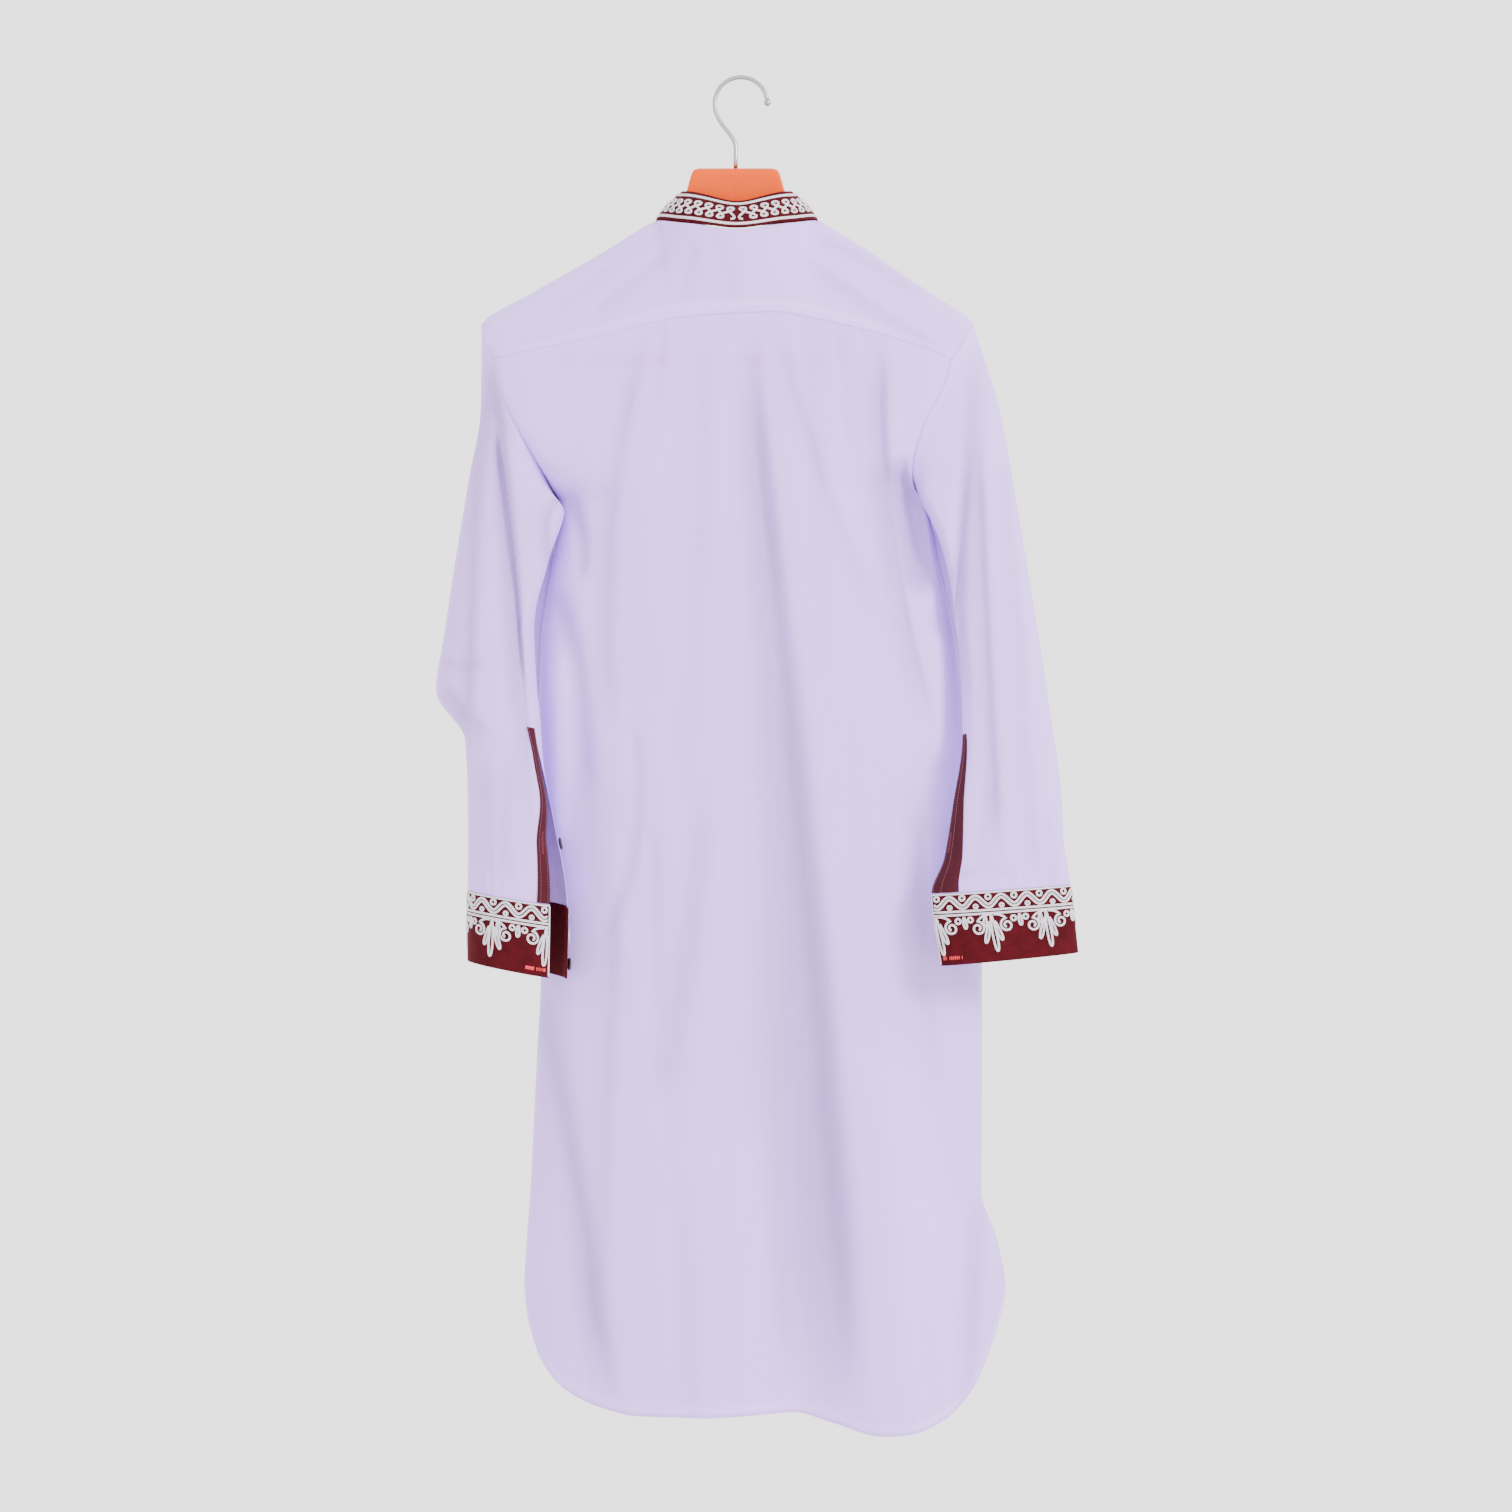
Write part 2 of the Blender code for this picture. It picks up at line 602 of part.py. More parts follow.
def armhole(side, angle):
    """Armhole at an angle in degrees: 0 at the shoulder's tip, 90 behind, 180 at the underarm."""
    behind, before = armhole_paths(side)
    turn = np.mod(angle, 360)
    near = resample(behind, np.clip(turn / 180, 0, 1).ravel()).reshape(turn.shape + (3,))
    far = resample(before, np.clip((360 - turn) / 180, 0, 1).ravel()).reshape(turn.shape + (3,))
    return np.where((turn <= 180)[..., None], near, far)


def stations(table):
    """Share of the sleeve's length at each row of its table, along its middle."""
    rows = columns(table)
    middle = np.stack([(rows[0] + rows[3]) / 2, (rows[1] + rows[4]) / 2, (rows[2] + rows[5]) / 2], -1)
    run = np.concatenate([[0], np.cumsum(np.linalg.norm(np.diff(middle, axis=0), axis=1))])
    return run / run[-1]


def sleeve_ring(table, angle, length):
    """Rounded ring of a sleeve at a share of its length: 0 degrees outside, 90 behind."""
    at = stations(table)
    ox, od, oy, ix, idrop, iy, half = [through(at, column, length) for column in columns(table)]
    turn = np.radians(angle)
    power = 2 / SLEEVE_ROUND
    c = np.sign(np.cos(turn)) * np.abs(np.cos(turn)) ** power
    s = np.sign(np.sin(turn)) * np.abs(np.sin(turn)) ** power
    x = (ox + ix) / 2 + (ox - ix) / 2 * c
    y = (oy + iy) / 2 + (oy - iy) / 2 * c - half * s
    z = -(od + idrop) / 2 - (od - idrop) / 2 * c
    return points(x, y, z)


def sleeve_surface(side, round_share, length):
    """Point of a sleeve: the share round it starts at the slit's near edge.

    Near the body the ring is eased into the armhole, and below the slit's top the
    ring opens. Creases behind come from the photograph's side, others lie in front.
    """
    table, slit = (LEFT_SLEEVE, LEFT_SLIT) if side < 0 else (RIGHT_SLEEVE, RIGHT_SLIT)
    drops, near_angles, openings = columns(slit)
    middle_drop = np.interp(length, stations(table), (columns(table)[1] + columns(table)[4]) / 2)
    opening = through(drops, openings, middle_drop)
    angle = through(drops, near_angles, middle_drop) - round_share * (360 - opening)
    grid = sleeve_ring(table, angle, length)
    mend = armhole(side, angle) - sleeve_ring(table, angle, np.zeros_like(length))
    under = np.sin(np.radians(angle) / 2) ** 2
    mend[..., 0] += side * (SLEEVE_SEAM_GAP + (UNDERARM_GAP - SLEEVE_SEAM_GAP) * under)
    grid += mend * (np.clip(1 - length / ARMHOLE_BLEND, 0, 1) ** 3)[..., None]
    end = stations(table)[-2]
    fade = ease(length / SLEEVE_TOP_FADE) * ease((end - length) / SLEEVE_END_FADE)
    behind = ease(np.sin(np.radians(angle)) / 0.5)
    before = ease(-np.sin(np.radians(angle)) / 0.5)
    creases = LEFT_SLEEVE_CREASES if side < 0 else RIGHT_SLEEVE_CREASES
    x, drop = grid[..., 0].copy(), -grid[..., 2]
    grid[..., 1] += fade * behind * relief(x, drop, creases)
    grid[..., 1] -= fade * before * relief(x, drop, SLEEVE_FRONT_CREASES)
    return grid


def slit_share(side):
    """Share of a sleeve's length where its slit starts."""
    table, slit = (LEFT_SLEEVE, LEFT_SLIT) if side < 0 else (RIGHT_SLEEVE, RIGHT_SLIT)
    rows = columns(table)
    return np.interp(slit[1].drop, (rows[1] + rows[4]) / 2, stations(table))


# Meshes

def finish(name, colour, roughness, metallic=0.0):
    """Plain Principled material."""
    material = bpy.data.materials.new(name)
    material.use_nodes = True
    shader = material.node_tree.nodes["Principled BSDF"]
    shader.inputs["Base Color"].default_value = (*colour, 1.0)
    shader.inputs["Roughness"].default_value = roughness
    shader.inputs["Metallic"].default_value = metallic
    material.diffuse_color = (*colour, 1.0)
    return material


def place(name, mesh, material, collection):
    """New object from a mesh, smooth shaded, in its collection."""
    mesh.materials.append(material)
    mesh.shade_smooth()
    piece = bpy.data.objects.new(name, mesh)
    collection.objects.link(piece)
    return piece


def quads(index):
    """Faces of a grid of vertex numbers."""
    corners = (index[:-1, :-1], index[1:, :-1], index[1:, 1:], index[:-1, 1:])
    return np.stack([corner.ravel() for corner in corners], axis=-1)


def cloth(name, grid, wall, material, collection, joined_rows=0, kept=None):
    """Open sheet over a grid, given its wall by Solidify.

    The first rows may be joined round, so that a tube is open only below them, and
    only the kept quads are cloth.
    """
    index = np.arange(grid.shape[0] * grid.shape[1]).reshape(grid.shape[:2])
    index[:joined_rows, -1] = index[:joined_rows, 0]
    faces = quads(index) if kept is None else quads(index)[kept.ravel()]
    used, faces = np.unique(faces, return_inverse=True)
    mesh = bpy.data.meshes.new(name)
    mesh.from_pydata((grid.reshape(-1, 3)[used] * MM).tolist(), [], faces.reshape(-1, 4).tolist())
    piece = place(name, mesh, material, collection)
    solidify = piece.modifiers.new("wall", "SOLIDIFY")
    solidify.thickness = wall * MM
    solidify.offset = 0.0
    return piece


def shell(name, outer, inner, material, collection):
    """Closed wall between two grids of one size, with a rim round their edges."""
    rows, across = outer.shape[:2]
    front = np.arange(rows * across).reshape(rows, across)
    back = front + rows * across
    faces = [quads(front), quads(back)[:, ::-1]]
    border = np.concatenate([front[0, :-1], front[:-1, -1], front[-1, :0:-1], front[:0:-1, 0]])
    after = np.roll(border, -1)
    faces.append(np.stack([border, after, after + rows * across, border + rows * across], axis=-1))
    mesh = bpy.data.meshes.new(name)
    verts = np.concatenate([outer.reshape(-1, 3), inner.reshape(-1, 3)]) * MM
    mesh.from_pydata(verts.tolist(), [], np.concatenate(faces).tolist())
    return place(name, outward(mesh), material, collection)


def outward(mesh):
    """Turns all faces of a closed mesh outwards."""
    form = bmesh.new()
    form.from_mesh(mesh)
    bmesh.ops.recalc_face_normals(form, faces=form.faces)
    form.to_mesh(mesh)
    form.free()
    return mesh


def collar(material, collection):
    """Stand collar: a leaning band round the neck with braid raised along its edges and middle."""
    count, rows = COLLAR_GRID
    gap = math.degrees(COLLAR_FRONT_GAP / 2 / COLLAR_TOP_HALF)
    angle = np.linspace(-180 + gap, 180 - gap, count)[None, :]
    up = np.linspace(0, 1, rows)[:, None]
    low, high = neck_ring(angle), collar_ring(angle)
    run = high - low
    lift = run / np.linalg.norm(run, axis=-1, keepdims=True)
    low = low + lift * ((CLOTH_WALL + VELVET_WALL) / 2 + 2 * SEAM_GAP)
    turn = np.radians(angle)
    outwards = points(np.sin(turn), -np.cos(turn), np.zeros_like(turn))
    belly = COLLAR_LEAN_OUT * np.sin(math.pi * up)
    grid = low + (high - low) * up[..., None] + outwards * belly[..., None]
    inner_rows = (up > 0.2) & (up < 0.8)
    border = ((up > 0.1) & (up < 0.2)) | ((up > 0.8) & (up < 0.9))
    scrolls = 0.5 + 0.5 * np.cos(np.arange(count) * math.pi)[None, :]
    height = BRAID_HEIGHT * np.where(border, 0.8, scrolls * inner_rows)
    normal = away(grid, grid)
    outer = grid + normal * (VELVET_WALL / 2 + height)[..., None]
    return shell("collar", outer, grid - normal * VELVET_WALL / 2, material, collection)


def cuff_points(side):
    """Grid of a cuff below the sleeve."""
    count, rows = CUFF_GRID
    table = LEFT_SLEEVE if side < 0 else RIGHT_SLEEVE
    start = stations(table)[-2] + CUFF_GAP
    down = np.linspace(0, 1, rows)[:, None]
    share = np.linspace(0, 1, count)[None, :]
    return sleeve_surface(side, share, start + (1 - start) * down + 0 * share)


def cuff(name, grid, material, collection):
    """Open cuff with braid raised on it: a wave, a line and pendants, but not under the button."""
    down = np.linspace(0, 1, grid.shape[0])[:, None]
    share = np.linspace(0, 1, grid.shape[1])[None, :]
    wave = (0.5 + 0.5 * np.sin(share * 22 * math.pi)) * ((down > 0.05) & (down < 0.35))
    line = (down > 0.35) & (down < 0.5)
    pendants = (0.5 + 0.5 * np.cos(share * 10 * math.pi)) * ((down > 0.5) & (down < 0.8))
    height = BRAID_HEIGHT * (wave + line + pendants) * (share < 0.89)
    normal = away(grid, grid)
    inner = grid - normal * VELVET_WALL / 2
    outer = grid + normal * (VELVET_WALL / 2 + height)[..., None]
    return shell(name, outer, inner, material, collection)


def sleeve_lengths(side):
    """Shares of a sleeve's length at its rows, and how many of them are joined round."""
    table = LEFT_SLEEVE if side < 0 else RIGHT_SLEEVE
    end = stations(table)[-2]
    down = np.linspace(0, 1, SLEEVE_GRID[1]) ** SLEEVE_CROWDING
    lengths = SLEEVE_START + (end - SLEEVE_START) * down
    return lengths, int(np.searchsorted(lengths, slit_share(side)))


def sleeve_points(side):
    """Grid of a sleeve, from the armhole to the cuff and all round from the slit."""
    lengths, _ = sleeve_lengths(side)
    share = np.linspace(0, 1, SLEEVE_GRID[0])[None, :]
    return sleeve_surface(side, share, lengths[:, None] + 0 * share)


def on_grid(grid, row, column):
    """Point of a faceted grid at a row and column that may lie between its own."""
    row, column = np.broadcast_arrays(row, column)
    r = np.clip(np.floor(row).astype(int), 0, grid.shape[0] - 2)
    c = np.clip(np.floor(column).astype(int), 0, grid.shape[1] - 2)
    fr, fc = (row - r)[..., None], (column - c)[..., None]
    upper = grid[r, c] * (1 - fc) + grid[r, c + 1] * fc
    lower = grid[r + 1, c] * (1 - fc) + grid[r + 1, c + 1] * fc
    return upper * (1 - fr) + lower * fr


def sleeve_band(name, grid, first_row, material, collection):
    """Placket band on the slit's near edge, from the sleeve's points moved out."""
    rows = np.arange(first_row, grid.shape[0] - 1)
    rows = np.concatenate([rows, [grid.shape[0] - 1.05]])[:, None]
    near = on_grid(grid, rows, np.array([BAND_COLUMNS]))
    lift = (CLOTH_WALL + STRIP_WALL) / 2 + BAND_GAP
    return cloth(name, near + away(near, grid) * lift, STRIP_WALL, material, collection)


def away(strip, around):
    """Unit normals of a strip that point away from the middle of the piece it lies on."""
    normal = normals(strip)
    middle = around.reshape(-1, 3).mean(axis=0)
    middle = np.array([middle[0], middle[1], strip[..., 2].mean()])
    return normal * np.sign(((strip - middle) * normal).sum(axis=-1).mean())


def front_strip(panel):
    """Points of the front panel under the placket: its own rows, between two lines of x."""
    top = NECK_DROPS[-1].neck_drop
    column = int(np.argmin(np.abs(panel[5, :, 0] - NECK_X)))
    rows = np.flatnonzero(-panel[:, column, 2] < top + PLACKET_LENGTH)
    offsets = np.array(PLACKET_COLUMNS) * PLACKET_WIDTH
    lines = [np.interp(NECK_X + offsets, panel[r, :, 0], np.arange(panel.shape[1])) for r in rows]
    rows = rows.astype(float)
    rows[0] = PLACKET_FIRST_ROW
    return on_grid(panel, rows[:, None], np.stack(lines))


def button(name, spot, normal, material, collection):
    """Round button lying on a spot, its face along the normal."""
    form = bmesh.new()
    bmesh.ops.create_cone(
        form, cap_ends=True, segments=BUTTON_SIDES, radius1=BUTTON_RADIUS * MM, radius2=BUTTON_RADIUS * MM,
        depth=BUTTON_THICK * MM,
    )
    mesh = bpy.data.meshes.new(name)
    form.to_mesh(mesh)
    form.free()
    piece = place(name, mesh, material, collection)
    bevel = piece.modifiers.new("edge", "BEVEL")
    bevel.width = 0.7 * MM
    bevel.segments = 1
    turn = Vector((0, 0, 1)).rotation_difference(Vector(normal))
    piece.matrix_world = Matrix.Translation(Vector(spot) * MM) @ turn.to_matrix().to_4x4()
    return piece


def sewn_button(name, grid, row, column, base, around, material, collection):
    """Button at a place on a piece's grid, raised over the wall it is sewn to."""
    patch = on_grid(grid, row + np.array([[-0.3], [0], [0.3]]), column + np.array([[-0.2, 0, 0.2]]))
    normal = away(patch, around)[1, 1]
    lift = base / 2 + SEAM_GAP + BUTTON_THICK / 2
    return button(name, patch[1, 1] + normal * lift, normal, material, collection)


# Hanger

def tube(name, path, radius, material, collection, radii=None):
    """Wire or bar along a path, as a curve with a round section and filled caps."""
    curve = bpy.data.curves.new(name, "CURVE")
    curve.dimensions = "3D"
    curve.bevel_depth = radius * MM
    curve.bevel_resolution = 2
    curve.use_fill_caps = True
    spline = curve.splines.new("POLY")
    spline.points.add(len(path) - 1)
    for k, (point, place_on_path) in enumerate(zip(spline.points, path)):
        point.co = (*(np.array(place_on_path) * MM), 1.0)
        point.radius = 1.0 if radii is None else radii[k]
    curve.materials.append(material)
    piece = bpy.data.objects.new(name, curve)
    collection.objects.link(piece)
    return piece


def hook(material, collection):
    """Rail hook: a stem, an easing bend, an arc over the rail and a ball end."""
    t = np.linspace(0, 1, 9)[:, None]
    corners = [np.array([HANGER_X, 0, -60]), np.array([HANGER_X, 0, -48])]
    corners += [np.array([-HOOK_RADIUS, 0, -40]), np.array([-HOOK_RADIUS, 0, -21.3])]
    bend = corners[0] * (1 - t) ** 3 + corners[1] * 3 * t * (1 - t) ** 2
    bend = bend + corners[2] * 3 * t ** 2 * (1 - t) + corners[3] * t ** 3
    stem_end = -BLOCK_DROP - HOOK_HOLE_DEPTH + FIT_GAP
    stem = np.array([[HANGER_X, 0, stem_end], [HANGER_X, 0, -BLOCK_DROP]])
    turn = np.radians(np.linspace(170, 12, 17))[:, None]
    centre = np.array([[0, 0, -HOOK_WIRE - HOOK_RADIUS + 2 * HOOK_WIRE]])
    arc = centre + HOOK_RADIUS * np.concatenate([np.cos(turn), 0 * turn, np.sin(turn)], axis=1)
    ball = np.radians(np.array([40, 65, 90, 120, 150]))
    fall = np.radians(8) - HOOK_BALL * (np.cos(ball[0]) - np.cos(ball)) / HOOK_RADIUS
    tip = centre + HOOK_RADIUS * np.stack([np.cos(fall), 0 * fall, np.sin(fall)], axis=1)
    path = np.concatenate([stem, bend, arc, tip])
    radii = [1.0] * (len(path) - len(ball)) + list(HOOK_BALL * np.sin(ball) / HOOK_WIRE)
    return tube("hook", path, HOOK_WIRE, material, collection, radii)


def hanger_section(reach):
    """Section of the hanger at a reach from its middle: a round top over upright sides."""
    x = HANGER_X + reach
    half = float(arm_half(np.array(x)))
    top = float(ridge_drop(np.array(x))) + SHOULDER_EASE
    block_reach, block_drops = columns(BLOCK_OUTLINE)
    if abs(reach) < block_reach[-1]:
        top = float(through(block_reach, block_drops, abs(reach)))
    low = max(top + ARM_HEIGHT, ARM_FOOT_DROP - ARM_FOOT_RISE * abs(reach))
    end = np.clip((HANGER_HALF - abs(reach)) / ARM_END, 0, 1)
    shrink = math.sqrt(1 - (1 - end) ** 2 * ARM_END_SHRINK)
    middle = (top + half + low) / 2
    turn = np.linspace(-90, 90, 9) * math.pi / 180
    wide, narrow = FOOT_SHARES
    y = half * np.concatenate([np.sin(turn), [wide, narrow, -narrow, -wide]])
    foot = low - np.array([FOOT_BEVEL, 0, 0, FOOT_BEVEL])
    drop = np.concatenate([top + half - half * np.cos(turn), foot])
    drop = middle + (drop - middle) * shrink
    return points(x, float(arm_y(np.array(x))) + y * shrink, -drop)


def hanger(material, collection, cutters):
    """Both arms and the neck block in one loft, with holes for the hook and the bar."""
    inner = [0, 12, 24] + [row.reach for row in BLOCK_OUTLINE[1:]]
    outer = list(np.linspace(60, HANGER_HALF - 14, 10)) + [HANGER_HALF - 7, HANGER_HALF - 3, HANGER_HALF]
    reaches = [-r for r in (inner + outer)[:0:-1]] + inner + outer
    grid = np.stack([hanger_section(reach) for reach in reaches])
    count, ring = grid.shape[:2]
    index = np.arange(count * ring).reshape(count, ring)
    closed = np.concatenate([index, index[:, :1]], axis=1)
    faces = quads(closed).tolist() + [index[0].tolist(), index[-1].tolist()]
    mesh = bpy.data.meshes.new("hanger")
    mesh.from_pydata((grid.reshape(-1, 3) * MM).tolist(), [], faces)
    piece = place("hanger", outward(mesh), material, collection)
    hole = HOOK_WIRE + FIT_GAP
    cut(piece, (HANGER_X, 0, -BLOCK_DROP), hole, HOOK_HOLE_DEPTH, cutters, "hook_hole")
    for side in (-1, 1):
        spot = bar_end(side)
        below = spot - np.array([0, 0, SOCKET_MARGIN])
        depth = BAR_SOCKET + SOCKET_MARGIN
        cut(piece, below, BAR_RADIUS + FIT_GAP, depth, cutters, "bar_socket", 1)
    return piece


def bar_end(side):
    """Where the bar goes into the underside of an arm."""
    section_points = hanger_section(side * BAR_HALF)
    return np.array([HANGER_X + side * BAR_HALF, section_points[:, 1].mean(), section_points[:, 2].min()])


def cut(piece, mouth, radius, depth, cutters, name, way=-1):
    """Round blind hole: from its mouth down (way -1) or up (way 1) into the piece."""
    form = bmesh.new()
    margin = 1.0 if way < 0 else 0.0
    length = depth + margin
    bmesh.ops.create_cone(
        form, cap_ends=True, segments=20, radius1=radius * MM, radius2=radius * MM, depth=length * MM,
    )
    mesh = bpy.data.meshes.new(name)
    form.to_mesh(mesh)
    form.free()
    cutter = bpy.data.objects.new(name, mesh)
    cutters.objects.link(cutter)
    cutter.location = (np.array(mouth) + np.array([0, 0, way * length / 2 - way * margin])) * MM
    cutter.hide_render = True
    cutter.display_type = "WIRE"
    boolean = piece.modifiers.new(name, "BOOLEAN")
    boolean.operation = "DIFFERENCE"
    boolean.solver = "EXACT"
    boolean.object = cutter


def hanger_bar(material, collection):
    """Lower bar: out of one arm's underside, round a bend, across and up into the other."""
    left, right = bar_end(-1), bar_end(1)
    turn = np.radians(np.linspace(0, 90, 7))[:, None]
    path = [left + np.array([0, 0, BAR_SOCKET - FIT_GAP])]
    for end, side in ((left, -1), (right, 1)):
        centre = np.array([end[0] - side * BAR_BEND, end[1], -BAR_DROP + BAR_BEND])
        arc = centre + BAR_BEND * np.concatenate([side * np.cos(turn), 0 * turn, -np.sin(turn)], axis=1)
        path.extend(arc if side < 0 else arc[::-1])
    path.append(right + np.array([0, 0, BAR_SOCKET - FIT_GAP]))
    return tube("hanger_bar", path, BAR_RADIUS, material, collection)


def main():
    for piece in list(bpy.data.objects):
        bpy.data.objects.remove(piece)
    garment = bpy.data.collections.new("kurta_on_hanger")
    cutters = bpy.data.collections.new("cutters")
    for collection in (garment, cutters):
        bpy.context.scene.collection.children.link(collection)

    cotton = finish("white_cotton", (0.78, 0.72, 0.9), 0.85)
    velvet = finish("red_velvet", (0.2, 0.003, 0.01), 0.9)
    binding = finish("red_binding", (0.22, 0.014, 0.03), 0.8)
    plastic = finish("orange_plastic", (1.0, 0.28, 0.07), 0.35)
    chrome = finish("chrome_wire", (0.8, 0.8, 0.82), 0.15, 1.0)
    metal = finish("button_metal", (0.08, 0.07, 0.08), 0.35, 0.9)

    cloth("back_panel", back_panel_points(*BACK_GRID), CLOTH_WALL, cotton, garment)
    kept = yoke_faces(*YOKE_GRID)
    cloth("yoke", yoke_points(*YOKE_GRID), CLOTH_WALL, cotton, garment, kept=kept)
    panel = front_panel_points(*FRONT_GRID)
    cloth("front_panel", panel, CLOTH_WALL, cotton, garment)
    strip = front_strip(panel)
    strip = strip + away(strip, panel) * ((CLOTH_WALL + STRIP_WALL) / 2 + 2 * SEAM_GAP)
    cloth("front_placket", strip, STRIP_WALL, cotton, garment)
    for k in range(FRONT_BUTTONS):
        row = FRONT_BUTTON_ROW + k * (strip.shape[0] - 2) / FRONT_BUTTONS
        sewn_button("button_front_%d" % (k + 1), strip, row, 1.5, STRIP_WALL, panel, metal, garment)
    collar(velvet, garment)
    for side, hand, inset in ((-1, "left", LEFT_BUTTONS), (1, "right", RIGHT_BUTTONS)):
        grid = sleeve_points(side)
        _, joined = sleeve_lengths(side)
        cloth("sleeve_" + hand, grid, CLOTH_WALL, cotton, garment, joined)
        sleeve_band("sleeve_band_" + hand, grid, joined - 1, binding, garment)
        row, column = grid.shape[0] - SLIT_BUTTON_ROW, grid.shape[1] - inset.sleeve
        ring = grid[int(row) - 1:int(row) + 3]
        sewn_button("button_slit_" + hand, grid, row, column, CLOTH_WALL, ring, metal, garment)
        grid = cuff_points(side)
        cuff("cuff_" + hand, grid, velvet, garment)
        column = grid.shape[1] - inset.cuff
        spot = (CUFF_BUTTON_ROW, column)
        sewn_button("button_cuff_" + hand, grid, *spot, VELVET_WALL, grid, metal, garment)

    hanger(plastic, garment, cutters)
    hanger_bar(plastic, garment)
    hook(chrome, garment)


main()
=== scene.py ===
"""Looks of a long-sleeved kurta that hangs on a wide-shouldered clothes hanger.

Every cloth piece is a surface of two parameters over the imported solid's own form: one runs
across or round the piece and the other down it. Lengths in the tables are millimetres, and
a "drop" is a distance below the rail. The back faces -Y and the wearer's right is at +X.
"""
import functools
import math
from collections import namedtuple

import bmesh
import bpy
import numpy as np
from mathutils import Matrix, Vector


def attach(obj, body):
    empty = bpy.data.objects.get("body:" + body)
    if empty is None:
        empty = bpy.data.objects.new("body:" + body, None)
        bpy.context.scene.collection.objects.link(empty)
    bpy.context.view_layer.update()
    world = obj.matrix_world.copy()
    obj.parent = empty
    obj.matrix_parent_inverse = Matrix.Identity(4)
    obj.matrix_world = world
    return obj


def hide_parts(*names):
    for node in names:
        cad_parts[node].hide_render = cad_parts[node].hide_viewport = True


bl_info = {
    "name": "Kurta on a hanger",
    "version": (1, 0, 0),
    "blender": (4, 5, 0),
    "location": "3D View > Sidebar > Kurta",
    "description": "Dresses a hanging kurta with cloth, velvet, braid and stitches",
    "category": "Object",
}

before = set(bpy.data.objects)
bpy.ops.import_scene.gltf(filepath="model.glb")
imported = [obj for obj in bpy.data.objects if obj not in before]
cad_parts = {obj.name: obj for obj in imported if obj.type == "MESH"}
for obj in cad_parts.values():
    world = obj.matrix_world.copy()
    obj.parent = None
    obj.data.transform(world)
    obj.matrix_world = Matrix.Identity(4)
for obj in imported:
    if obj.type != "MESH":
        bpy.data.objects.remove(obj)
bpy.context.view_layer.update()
MM = 0.001

# Form of the solids: hook and hanger
HOOK_RADIUS = 23.2
HOOK_WIRE = 1.9
HOOK_BALL = 3.1
HANGER_X = -4.7
HANGER_HALF = 200.0
BLOCK_DROP = 78.3
ARM_HEIGHT = 22.0
ARM_SWEEP = 6.0
BAR_DROP = 246.0
BAR_RADIUS = 5.5
BAR_HALF = 168.0
BAR_BEND = 20.0
SHOULDER_EASE = 3.2

# Neck, collar and body
NECK_X = -3.6
NECK_HALF = 72.0
NECK_BACK_Y = -42.0
NECK_FRONT_Y = 58.0
NECK_SEAM_ANGLE = 105.0
NECK_FOOT = 63.0
NECK_STRAP_ANGLE = 75.0
COLLAR_TOP_HALF = 48.0
COLLAR_TOP_SQUARE = 4.5
COLLAR_TOP_BACK_Y = -22.0
COLLAR_TOP_FRONT_Y = 68.0
COLLAR_LEAN_OUT = 3.0
COLLAR_FRONT_GAP = 4.0
COLLAR_LIFT = 1.6
PLACKET_WIDTH = 30.0
PLACKET_LENGTH = 320.0
FRONT_BUTTONS = 4
SEAM_TIP_Y = 28.0
SEAM_TIP_FALL = 25.0
SEAM_TIP_IN = 9.0
BODY_ROUND = 2.4
NECK_EASE = 70.0
SLEEVE_ROUND = 2.15
ARMHOLE_BLEND = 0.34
# The yoke laps over the back panel, the cuffs over the sleeves, and the sleeves' seams are close
YOKE_LAP = 1.4
ARMHOLE_GAP = 0.25
SLEEVE_START = 0.0005
CUFF_LAP = 0.002
GATHER = 0.55
# Share of the border braid's width that the figures' finer braid has
FINE_BRAID = 0.8
# Studio lamps lean to violet, as the photograph's whites do
LIGHT_COLOUR = (1.0, 0.95, 1.0)

Edge = namedtuple("Edge", "drop x depth")
LEFT_EDGE = (
    Edge(247, -215, 32), Edge(282, -207, 35), Edge(308, -195, 36), Edge(335, -180, 31),
    Edge(360, -166, 14), Edge(373, -160, 0.25), Edge(420, -165, 0.25), Edge(500, -176, 0.25),
    Edge(600, -178, 0.25), Edge(792, -176, 0.25), Edge(854, -179, 0.25), Edge(977, -185, 0.25),
    Edge(1021, -188, 3), Edge(1063, -190, 6), Edge(1180, -190, 8),
)
RIGHT_EDGE = (
    Edge(247, 183, 32), Edge(269, 177, 34), Edge(308, 158, 36), Edge(345, 149, 28),
    Edge(362, 153, 12), Edge(370, 162, 0.25), Edge(420, 172, 0.25), Edge(500, 190, 0.25),
    Edge(600, 203, 0.25), Edge(700, 211, 0.25), Edge(854, 212, 0.25), Edge(977, 211, 0.25),
    Edge(1021, 225, 3), Edge(1063, 232, 6), Edge(1180, 232, 8),
)
UNDERARM = {-1: 373.0, 1: 370.0}

Depth = namedtuple("Depth", "drop back front")
BODY_DEPTH = (
    Depth(205, 46, 50), Depth(250, 47, 50), Depth(300, 49, 52), Depth(400, 60, 58),
    Depth(600, 66, 60), Depth(800, 64, 58), Depth(1000, 62, 56), Depth(1180, 60, 54),
)

